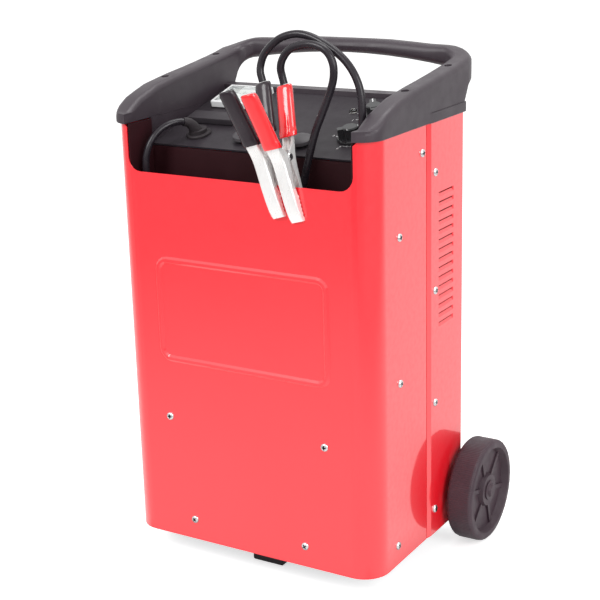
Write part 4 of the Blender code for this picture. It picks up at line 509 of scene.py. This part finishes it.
ZINC = zinc_plate("zinc_steel")
ALUMINIUM = metal("aluminium", (0.76, 0.77, 0.79), (0.66, 0.67, 0.69), 0.30, 0.45, (1, 1, 0.06))
CORE = laminated("laminations")
BOBBIN = pressboard("bobbin_card")
COPPER = winding("copper_wire", (0.55, 0.20, 0.08), (0.24, 0.07, 0.03), 0.0012, "Z", "SIN", 0.30, 0.7, 0.0003)
TAPE = winding("winding_tape", (0.52, 0.38, 0.12), (0.38, 0.26, 0.07), 0.0090, "Z", "SAW", 0.45, 0.0, 0.0006)
PRINT = sheen_plastic("white_print", (0.80, 0.80, 0.80), (0.74, 0.74, 0.74), 0.45, 0.60)
INK = sheen_plastic("black_ink", (0.020, 0.020, 0.022), (0.035, 0.035, 0.038), 0.45, 0.60)
RED_INK = sheen_plastic("red_ink", (0.62, 0.03, 0.02), (0.55, 0.02, 0.02), 0.45, 0.60)
DARK_SCREW = metal("dark_screw", (0.060, 0.060, 0.065), (0.040, 0.040, 0.044), 0.30, 0.45)
# a darker metal for the faces in the screws' cross recesses: painted shade
RECESS_SHADE = metal("screw_recess_shade", (0.10, 0.10, 0.11), (0.05, 0.05, 0.055), 0.40, 0.55)
PLUG = plug_material("plug_black", PLUG_END)

DRESS = {
    RED: ("front_cover", "rear_cover"),
    TOP: ("top_frame",),
    WELL: ("storage_well",),
    PANEL: ("control_panel",),
    KNOB: ("mode_knob", "rate_knob"),
    SWITCH: ("mode_switch", "rate_switch"),
    BREAKER: ("breaker_left", "breaker_right"),
    FUSE: ("fuse_cover",),
    BUTTON: ("reset_button_left", "reset_button_right"),
    RUBBER: ("mains_gland", "front_foot", "black_lead_grommet", "red_lead_grommet"),
    WHITE: ("meter_case",),
    CARD: ("meter_dial",),
    WINDOW: ("meter_window",),
    LENS: ("pilot_lamp",),
    INK: ("meter_needle",),
    JAW: ("black_clamp_front_arm", "black_clamp_rear_arm", "red_clamp_front_arm", "red_clamp_rear_arm"),
    BRIGHT: ("axle", "black_clamp_pin", "red_clamp_pin", "rectifier_diode_lower", "rectifier_diode_upper"),
    SPRING: ("black_clamp_spring", "red_clamp_spring"),
    ZINC: ("base_plate", "core_bracket_front", "core_bracket_rear", "axle_bracket_left",
           "axle_bracket_right"),
    ALUMINIUM: ("rectifier_heatsink",),
    CORE: ("transformer_core",),
    BOBBIN: ("bobbin",),
    COPPER: ("primary_winding",),
    TAPE: ("secondary_winding",),
    PLUG: ("mains_plug",),
}


def dress(name, material):
    NODES[name].data.materials.clear()
    NODES[name].data.materials.append(material)


for material, names in DRESS.items():
    for name in names:
        dress(name, material)
for side in ("left", "right"):
    low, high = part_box("wheel_" + side)
    dressed = wheel_plastic("wheel_plastic_" + side, (low + high) / 2)
    for name in ("wheel_" + side, "wheel_cap_" + side):
        dress(name, dressed)


def soften(obj, angle):
    """Round faces shade smoothly, and edges sharper than the angle stay sharp. The shape stays as it is."""
    normals = obj.data.attributes.get("custom_normal")
    if normals:
        obj.data.attributes.remove(normals)
    obj.data.shade_smooth()
    weld = obj.modifiers.new("weld", "WELD")
    weld.merge_threshold = WELD
    split = obj.modifiers.new("split", "EDGE_SPLIT")
    split.split_angle = math.radians(angle)
    weighted = obj.modifiers.new("weighted", "WEIGHTED_NORMAL")
    weighted.weight = 90


# the covers' flat faces stay flat up to their bead and louvres, and the arms' pressed shapes shade round
SPLIT_ANGLES = {"front_cover": 12.0, "rear_cover": 12.0, "black_clamp_front_arm": 50.0,
                "black_clamp_rear_arm": 50.0, "red_clamp_front_arm": 50.0, "red_clamp_rear_arm": 50.0}
for name, node in NODES.items():
    if node.type == "MESH":
        soften(node, SPLIT_ANGLES.get(name, ROUND_ANGLE))


# ================================================================ shapes
def add(name, bm, material, body, smooth=True, angle=40.0):
    """A visible piece that moves with a body."""
    data = bpy.data.meshes.new(name)
    bm.normal_update()
    bm.to_mesh(data)
    bm.free()
    obj = bpy.data.objects.new(name, data)
    bpy.context.scene.collection.objects.link(obj)
    data.materials.append(material)
    if smooth:
        data.shade_smooth()
        data.set_sharp_from_angle(angle=math.radians(angle))
    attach(obj, body)
    return obj


def loft_into(bm, rings):
    """A closed skin through rings of equally many points."""
    rows = [[bm.verts.new(p) for p in ring] for ring in rings]
    count = len(rows[0])
    for near, far in zip(rows, rows[1:]):
        for i in range(count):
            j = (i + 1) % count
            bm.faces.new((near[i], near[j], far[j], far[i]))
    bm.faces.new(list(reversed(rows[0])))
    bm.faces.new(rows[-1])


def panel_place(x, v, out):
    """The point at x, v down the control panel's slope and out of its face."""
    s, c = math.sin(PANEL_SLOPE), math.cos(PANEL_SLOPE)
    return CABINET + Vector((x, PANEL_TOP.y - v * c - out * s, PANEL_TOP.z - v * s + out * c))


def panel_frame(x, v, out, turn=0.0):
    """Axes on the control panel: X across, Y up the slope, Z out of it."""
    placed = Matrix.Rotation(PANEL_SLOPE, 4, "X") @ Matrix.Rotation(turn, 4, "Z")
    placed.translation = panel_place(x, v, out)
    return placed


# ================================================================ screws
def screw_mesh(radius, height):
    """A pan head with a cross recess, on the plane Z = 0; the faces in the recess take a darker second
    material as painted shade.
    """
    bm = bmesh.new()
    rings = []
    for r, z in ((1.0, 0.0), (1.0, 0.25), (0.95, 0.55), (0.80, 0.82), (0.55, 0.96), (0.28, 1.0)):
        rings.append([(radius * r * math.cos(a), radius * r * math.sin(a), height * z)
                      for a in np.linspace(0, 2 * math.pi, 32, endpoint=False)])
    loft_into(bm, rings)
    head = bpy.data.meshes.new("head")
    bm.to_mesh(head)
    bm.free()
    bm = bmesh.new()
    for turn in (0, 90):
        arm = []
        for z, reach, half in ((height * 0.25, 0.30, 0.13), (height * 1.2, 0.66, 0.20)):
            corners = ((-reach, -half), (reach, -half), (reach, half), (-reach, half))
            spin = Matrix.Rotation(math.radians(turn), 3, "Z")
            arm.append([spin @ Vector((x * radius, y * radius, z)) for x, y in corners])
        loft_into(bm, arm)
    recess = bpy.data.meshes.new("recess")
    bm.to_mesh(recess)
    bm.free()
    whole = bpy.data.objects.new("head", head)
    cutter = bpy.data.objects.new("recess", recess)
    for obj in (whole, cutter):
        bpy.context.scene.collection.objects.link(obj)
    cut = whole.modifiers.new("cut", "BOOLEAN")
    cut.operation, cut.solver, cut.object, cut.use_self = "DIFFERENCE", "EXACT", cutter, True
    made = bpy.data.meshes.new_from_object(whole.evaluated_get(bpy.context.evaluated_depsgraph_get()))
    for obj in (whole, cutter):
        bpy.data.objects.remove(obj)
    # faces deep in the cross recess take the second, darker metal: painted shade in the recess
    for face in made.polygons:
        if face.center.z < height * 0.85 and face.center.xy.length < radius * 0.66:
            face.material_index = 1
    return made


def screws(name, places, radius, height, material):
    """All the screws of one size as one piece. places are (point, outward direction, turn in degrees)."""
    one = screw_mesh(radius, height)
    bm = bmesh.new()
    for point, out, turn in places:
        start = len(bm.verts)
        bm.from_mesh(one)
        bm.verts.ensure_lookup_table()
        spin = Vector(out).to_track_quat("Z", "Y").to_matrix() @ Matrix.Rotation(math.radians(turn), 3, "Z")
        for vertex in bm.verts[start:]:
            vertex.co = spin @ vertex.co + CABINET + Vector(point)
    made = add(name, bm, material, "cabinet", angle=30)
    # second material: the darker metal on the recess faces, painted shade
    made.data.materials.append(RECESS_SHADE)
    return made


def cover_screws():
    """On the sides of both covers and the front, each turned its own way."""
    places = []
    turns = iter((20, 65, 40, 10, 75, 30, 55, 5, 80, 35, 60, 15, 45, 70, 25, 50, 0, 85, 33, 57))
    for side in (1, -1):
        front = ((-0.0505, 0.3837), (-0.0505, 0.2174), (-0.058, 0.024), (0.0054, 0.4654))
        rear = ((0.0345, 0.439), (0.0345, 0.3025), (0.0345, 0.167), (0.0345, 0.032))
        for x, column in ((SIDE, front), (REAR_SIDE, rear)):
            places += [((side * x, y, z), (side, 0, 0), next(turns)) for y, z in column]
    for x, z in ((0.1044, 0.1523), (0.076, 0.0257)):
        places += [((side * x, FRONT, z), (0, -1, 0), next(turns)) for side in (1, -1)]
    screws("cover_screws", places, COVER_SCREW_R, COVER_SCREW_HEIGHT, BRIGHT)


def rail_screws():
    """Two sunk in the top of each side rail."""
    crest = ((-0.113, 0.008), (-0.096, 0.0168), (-0.078, 0.0265), (-0.045, 0.0360), (-0.005, 0.0420),
             (0.045, 0.0475), (0.100, 0.0550), (0.122, 0.0595))
    ys, zs = zip(*crest)
    places = []
    for side in (1, -1):
        for y, turn in ((-0.015, 15), (0.092, 50)):
            z = HEIGHT + np.interp(y, ys, zs) - RAIL_SCREW_SINK
            places.append(((side * RAIL_X, y, z), (0, 0, 1), turn + 20 * side))
    screws("rail_screws", places, RAIL_SCREW_R, RAIL_SCREW_HEIGHT, DARK_SCREW)


cover_screws()
rail_screws()


# ================================================================ leads
def smooth_route(points, step):
    """Evenly spaced points on a smooth curve through the given ones, with straight ends."""
    given = [Vector(p) for p in points]
    fine = []
    for a, b, c, d in zip(given, given[1:], given[2:], given[3:]):
        for i in range(12):
            t = i / 12
            fine.append(0.5 * ((2 * b) + (c - a) * t + (2 * a - 5 * b + 4 * c - d) * t ** 2
                               + (3 * b - a - 3 * c + d) * t ** 3))
    fine.append(given[-2])
    lengths = [0.0]
    for a, b in zip(fine, fine[1:]):
        lengths.append(lengths[-1] + (b - a).length)
    wanted = np.linspace(0, lengths[-1], max(2, round(lengths[-1] / step)) + 1)
    table = np.array([tuple(p) for p in fine])
    inner = [Vector(np.interp(w, lengths, table[:, k]) for k in range(3)) for w in wanted]
    return [given[0]] + inner + [given[-1]]


def coil_points(centre, radius, tube_r, layer_y, turns, side, per_turn=64):
    """The stored turns: an upright coil in two layers, in on the first and out on the second."""
    pitch = 2 * tube_r + COIL_GAP
    half = turns / 2
    count = round(turns * per_turn)
    points = [Vector((centre[0] + side * radius, layer_y, centre[1] + 2 * tube_r))]
    for i in range(count + 1):
        t = i / per_turn - half
        r = radius - pitch * (half - abs(t))
        a = 2 * math.pi * i / per_turn
        climb = min(1.0, max(0.0, (t + 0.25) / 0.5))
        y = layer_y + pitch * climb * climb * (3 - 2 * climb)
        points.append(Vector((centre[0] + side * r * math.cos(a), y, centre[1] - r * math.sin(a))))
    return points


def cord_curve(name, points, radius):
    data = bpy.data.curves.new(name, "CURVE")
    data.dimensions = "3D"
    data.twist_mode = "MINIMUM"
    spline = data.splines.new("POLY")
    spline.points.add(len(points) - 1)
    for slot, point in zip(spline.points, points):
        slot.co = (*(point + CABINET), 1.0)
    data.bevel_depth = radius
    data.bevel_resolution = 5
    data.use_fill_caps = True
    data.materials.append(PVC)
    obj = bpy.data.objects.new(name, data)
    bpy.context.scene.collection.objects.link(obj)
    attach(obj, "cabinet")
    return obj


CLAMPS = {"black": (0.0366, 0.4745, 16.6), "red": (0.0616, 0.4725, 15.0)}      # pivot x, z, tilt
# the free part of each lead: X, Y and height above the cabinet's top
ROUTES = {
    "black": ((0.0125, -0.0720, 0.0675), (0.0165, -0.0705, 0.0795), (0.0267, -0.0690, 0.0908),
              (0.0390, -0.0680, 0.0985), (0.0548, -0.0670, 0.1022), (0.0702, -0.0665, 0.1005),
              (0.0857, -0.0665, 0.0945), (0.1011, -0.0665, 0.0860), (0.1124, -0.0665, 0.0775),
              (0.1215, -0.0670, 0.0675), (0.1285, -0.0680, 0.0560), (0.1330, -0.0690, 0.0430),
              (0.1348, -0.0700, 0.0250), (0.1350, -0.0715, 0.0000), (0.1340, -0.0740, -0.0350),
              (0.1315, -0.0775, -0.0750), (0.1285, -0.0820, -0.1250), (0.1265, -0.0835, -0.1600)),
    "red": ((0.0392, -0.0745, 0.0660), (0.0420, -0.0758, 0.0750), (0.0495, -0.0770, 0.0845),
            (0.0600, -0.0775, 0.0905), (0.0766, -0.0778, 0.0935), (0.0904, -0.0780, 0.0912),
            (0.0997, -0.0778, 0.0850), (0.1051, -0.0777, 0.0745), (0.1058, -0.0775, 0.0630),
            (0.1034, -0.0772, 0.0520), (0.0982, -0.0770, 0.0390), (0.0898, -0.0768, 0.0197),
            (0.0812, -0.0765, 0.0002), (0.0705, -0.0765, -0.0350), (0.0600, -0.0775, -0.0750),
            (0.0440, -0.0820, -0.1070), (0.0270, -0.0925, -0.1350), (0.0165, -0.1010, -0.1630)),
    "mains": ((-0.1040, -0.0450, -0.0064), (-0.1076, -0.0512, -0.0043), (-0.1109, -0.0570, -0.0036),
              (-0.1164, -0.0664, -0.0050), (-0.1214, -0.0752, -0.0092), (-0.1258, -0.0827, -0.0159),
              (-0.1291, -0.0885, -0.0246), (-0.1313, -0.0922, -0.0347), (-0.1325, -0.0934, -0.0456),
              (-0.1338, -0.0930, -0.0900), (-0.1342, -0.0915, -0.1450)),
}


def route(name):
    return [Vector((x, y, HEIGHT + z)) for x, y, z in ROUTES[name]]


def sleeve_centre(z):
    """Distance of a sleeve's middle line from the clamp's middle, at height z over the pivot."""
    return 0.0159 + (0.0345 - 0.0159) * (z - 0.012) / (0.070 - 0.012)


def dc_lead(colour, side, layer):
    """From the grommet in the well's floor through the stored turns to the clamp's rear sleeve."""
    pitch = 2 * LEAD_R + COIL_GAP
    radius = LEAD_COIL_R
    centre = (LEAD_COIL_X, WELL_FLOOR + CLEAR + radius + LEAD_R)
    y = WELL_FRONT_FACE + CLEAR + LEAD_R + pitch * layer
    top = WELL_FLOOR + 2 * CLEAR + GROMMET_FLANGE
    x = centre[0] + side * radius
    coil = coil_points(centre, radius, LEAD_R, y, LEAD_TURNS, side)
    exits = [Vector((x, y + pitch, z))
             for z in (centre[1] - 0.012, (centre[1] + top) / 2, top + 2 * LEAD_R, top)]
    px, pz, tilt = CLAMPS[colour]
    lean = Matrix.Rotation(math.radians(-tilt), 3, "Y")
    start = lean @ Vector((0, sleeve_centre(0.074), 0.074 + CLEAR)) + Vector((px, CLAMP_Y, pz))
    way = lean @ Vector((0, 0, 1))
    meet = coil[0] + Vector((0, 0, CLEAR))
    points = [start, start + way * 2 * LEAD_R] + route(colour)
    run = smooth_route(points + [meet + Vector((0, 0, 2 * LEAD_R)), meet], 0.003)
    line = list(reversed(run[:-1] + coil + exits))
    lead = cord_curve(colour + "_lead_cord", line, LEAD_R)
    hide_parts(colour + "_lead", colour + "_lead_coil")


def mains_lead():
    """From the gland's boot over the panel's front edge into the well, its turns, and up to the plug."""
    radius = MAINS_COIL_R
    middle = (WELL_FRONT_FACE + WELL_REAR_FACE) / 2
    half = MAINS_R + COIL_GAP / 2
    near, far = middle - half, middle + half
    centre = (MAINS_COIL_X, WELL_FLOOR + CLEAR + radius + MAINS_R)
    way = Vector((-0.5 * math.cos(GLAND_LEAN), -math.sqrt(0.75) * math.cos(GLAND_LEAN), math.sin(GLAND_LEAN)))
    second = panel_place(GLAND_X, GLAND_V, GLAND_FLANGE) - CABINET
    first = second - way * 2 * MAINS_R
    meet = Vector((centre[0] - radius, near, centre[1] + 2 * MAINS_R + CLEAR))
    points = [first, second] + route("mains") + [meet + Vector((0, 0, 2 * MAINS_R)), meet]
    path = smooth_route(points, MAINS_R)[1 + GLAND_BOOT:]     # what comes before lies in the boot
    path[0] = path[0] + (path[1] - path[0]).normalized() * CLEAR
    coil = coil_points(centre, radius, MAINS_R, near, MAINS_TURNS, -1)
    right = centre[0] + radius
    bend, steps = PLUG_BEND_R, 16
    plug_z = centre[1] + radius + MAINS_R + CLEAR + PLUG_BODY_R
    exits = []
    for i in range(steps + 1):
        a = math.radians(90 * i / steps)
        exits.append(Vector((right - bend + bend * math.cos(a), far + (middle - far) * i / steps,
                             plug_z - bend + bend * math.sin(a))))
    exits.append(Vector((right - bend - 2 * MAINS_R, middle, plug_z)))
    line = path[:-1] + coil + exits
    lead = cord_curve("mains_lead_cord", line, MAINS_R)
    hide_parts("mains_lead", "mains_lead_coil")


# ================================================================ sleeves on the clamps
def sleeve(colour, side, material):
    """A dipped sleeve: flat round tube, thicker lip at its open lower end, domed top. side is -1 in front."""
    px, pz, tilt = CLAMPS[colour]
    placed = Matrix.Rotation(math.radians(-tilt), 4, "Y")
    placed.translation = CABINET + Vector((px, CLAMP_Y, pz))
    low = SLEEVE_START[side]
    lip = ((0.0001, 1.00), (0.0005, 1.035), (0.0015, 1.048), (0.0050, 1.048), (0.0064, 1.030),
           (0.0080, 0.998))
    outside = [(low + up, grow) for up, grow in lip]
    outside += ((0.030, 0.992), (0.036, 0.985), (0.042, 0.980), (0.050, 0.975), (0.058, 0.968),
                (0.064, 0.962), (0.0690, 0.955), (0.0708, 0.935), (0.0722, 0.890), (0.0732, 0.820),
                (0.0737, 0.720), (0.0739, 0.560), (0.0739, 0.30))

    def ring(z, grow, shrink=0.0):
        points = []
        for i in range(40):
            a = 2 * math.pi * (i + 0.5) / 40
            x = (SLEEVE_HALF_X * grow - shrink) * math.copysign(abs(math.cos(a)) ** 0.9, math.cos(a))
            y = (SLEEVE_HALF_Y * grow - shrink) * math.copysign(abs(math.sin(a)) ** 0.9, math.sin(a))
            points.append(placed @ Vector((x, side * (sleeve_centre(z) + y), z)))
        return points

    inside = ((0.068, 0.95), (0.045, 0.97), (low + 0.0055, 1.0), (low + 0.0001, 1.0))
    rings = [ring(z, grow, SLEEVE_WALL) for z, grow in inside]
    rings += [ring(z, grow) for z, grow in outside]
    bm = bmesh.new()
    loft_into(bm, rings)
    bmesh.ops.recalc_face_normals(bm, faces=bm.faces)
    end = "front" if side < 0 else "rear"
    body = colour + "_clamp_arm" if side < 0 else "cabinet"
    made = add(f"{colour}_{end}_sleeve", bm, material, body, angle=60)
    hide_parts(f"{colour}_clamp_{end}_grip")
    return made


for colour, side, layer, material in (("black", 1, 2, BLACK_SLEEVE), ("red", -1, 0, RED_SLEEVE)):
    on_it = [sleeve(colour, -1, material), sleeve(colour, 1, material)]
    on_it += [NODES[f"{colour}_clamp_{part}"] for part in ("front_arm", "rear_arm", "pin", "spring")]
    dc_lead(colour, side, layer)
mains_lead()


# ================================================================ printed scales
def flat_piece(name, polygons, placed, material, body):
    """Thin print: flat polygons in the plane of placed."""
    bm = bmesh.new()
    for polygon in polygons:
        bm.faces.new([bm.verts.new(placed @ Vector((x, y, 0))) for x, y in polygon])
    obj = add(name, bm, material, body, smooth=False)
    return obj


def bar(angle, near, far, width):
    """A radial stroke. Angles count from Y towards -X, in degrees."""
    a = math.radians(angle)
    out, across = Vector((-math.sin(a), math.cos(a))), Vector((math.cos(a), math.sin(a)))
    return [tuple(out * r + across * w) for r, w in
            ((near, -width / 2), (near, width / 2), (far, width / 2), (far, -width / 2))]


def ring_part(start, end, near, far, steps=24):
    """A piece of a ring as quads."""
    quads = []
    angles = np.radians(np.linspace(start, end, steps + 1))
    for a, b in zip(angles, angles[1:]):
        corners = ((a, near), (a, far), (b, far), (b, near))
        quads.append([(-math.sin(t) * r, math.cos(t) * r) for t, r in corners])
    return quads


def number(name, text, placed, size, material, body, slot):
    """A plain number, turned into a flat mesh."""
    data = bpy.data.curves.new(name, "FONT")
    data.body = text
    data.size = size
    data.align_x, data.align_y = "CENTER", "CENTER"
    data.resolution_u = 3
    obj = bpy.data.objects.new(name, data)
    bpy.context.scene.collection.objects.link(obj)
    bpy.context.view_layer.update()
    made = bpy.data.meshes.new_from_object(obj.evaluated_get(bpy.context.evaluated_depsgraph_get()))
    bpy.data.objects.remove(obj)
    bm = bmesh.new()
    bm.from_mesh(made)
    bm.transform(placed)
    return add(name, bm, material, body, smooth=False)


def selector_scale(name, x, v, rest):
    """Seven marks over the knob's range, with plain numbers, and the line on the knob's pointer."""
    placed = panel_frame(x, v, PRINT_OUT)
    strokes = [bar(rest + k * KNOB_STEP, 0.0190, 0.0222, 0.0008) for k in range(-3, 4)]
    strokes += [bar(rest + k * KNOB_STEP + KNOB_STEP / 2, 0.0190, 0.0205, 0.0005) for k in range(-3, 3)]
    strokes += ring_part(rest - 3 * KNOB_STEP, rest + 3 * KNOB_STEP, 0.0183, 0.0187, 48)
    flat_piece(name + "_scale", strokes, placed, PRINT, "cabinet")
    for k in range(-3, 4):
        a = math.radians(rest - k * KNOB_STEP)
        at = panel_frame(x - math.sin(a) * 0.0255, v - math.cos(a) * 0.0255, PRINT_OUT)
        number(f"{name}_number_{k + 3}", str(k + 3), at, 0.0052, PRINT, "cabinet", "white_plastic")
    line = [[(-0.0006, 0.0035), (0.0006, 0.0035), (0.0006, 0.0178), (-0.0006, 0.0178)]]
    top = panel_frame(x, v, KNOB_WING + 0.00006, math.radians(rest))
    flat_piece(name + "_pointer_line", line, top, PRINT, name + "_knob")


def meter_scale():
    """Eleven marks over the needle's range of 90 degrees, the upper ones on a red arc, with plain numbers."""
    out = METER_FLOOR + CLEAR + DIAL_SHEET + 0.00005
    centre = (METER_X, PIVOT_V)
    placed = panel_frame(*centre, out)
    strokes = [bar(45 - k * METER_STEP, 0.0255 if k % 2 else 0.0245, 0.0275, 0.0003 if k % 2 else 0.0005)
               for k in range(11)]
    strokes += ring_part(45, -9, 0.0273, 0.0277)
    flat_piece("meter_scale", strokes, placed, INK, "cabinet")
    flat_piece("meter_scale_end", ring_part(-9, -45, 0.0272, 0.0280), placed, RED_INK, "cabinet")
    for k in range(0, 11, 2):
        a = math.radians(45 - k * METER_STEP)
        at = panel_frame(centre[0] - math.sin(a) * 0.0305, centre[1] - math.cos(a) * 0.0305, out, a)
        number(f"meter_number_{k}", str(k * 5), at, 0.0034, INK, "cabinet", "dial_card")


selector_scale("mode", 0.091, 0.049, 30.0)
selector_scale("rate", 0.092, 0.108, -55.0)
meter_scale()

low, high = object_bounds()
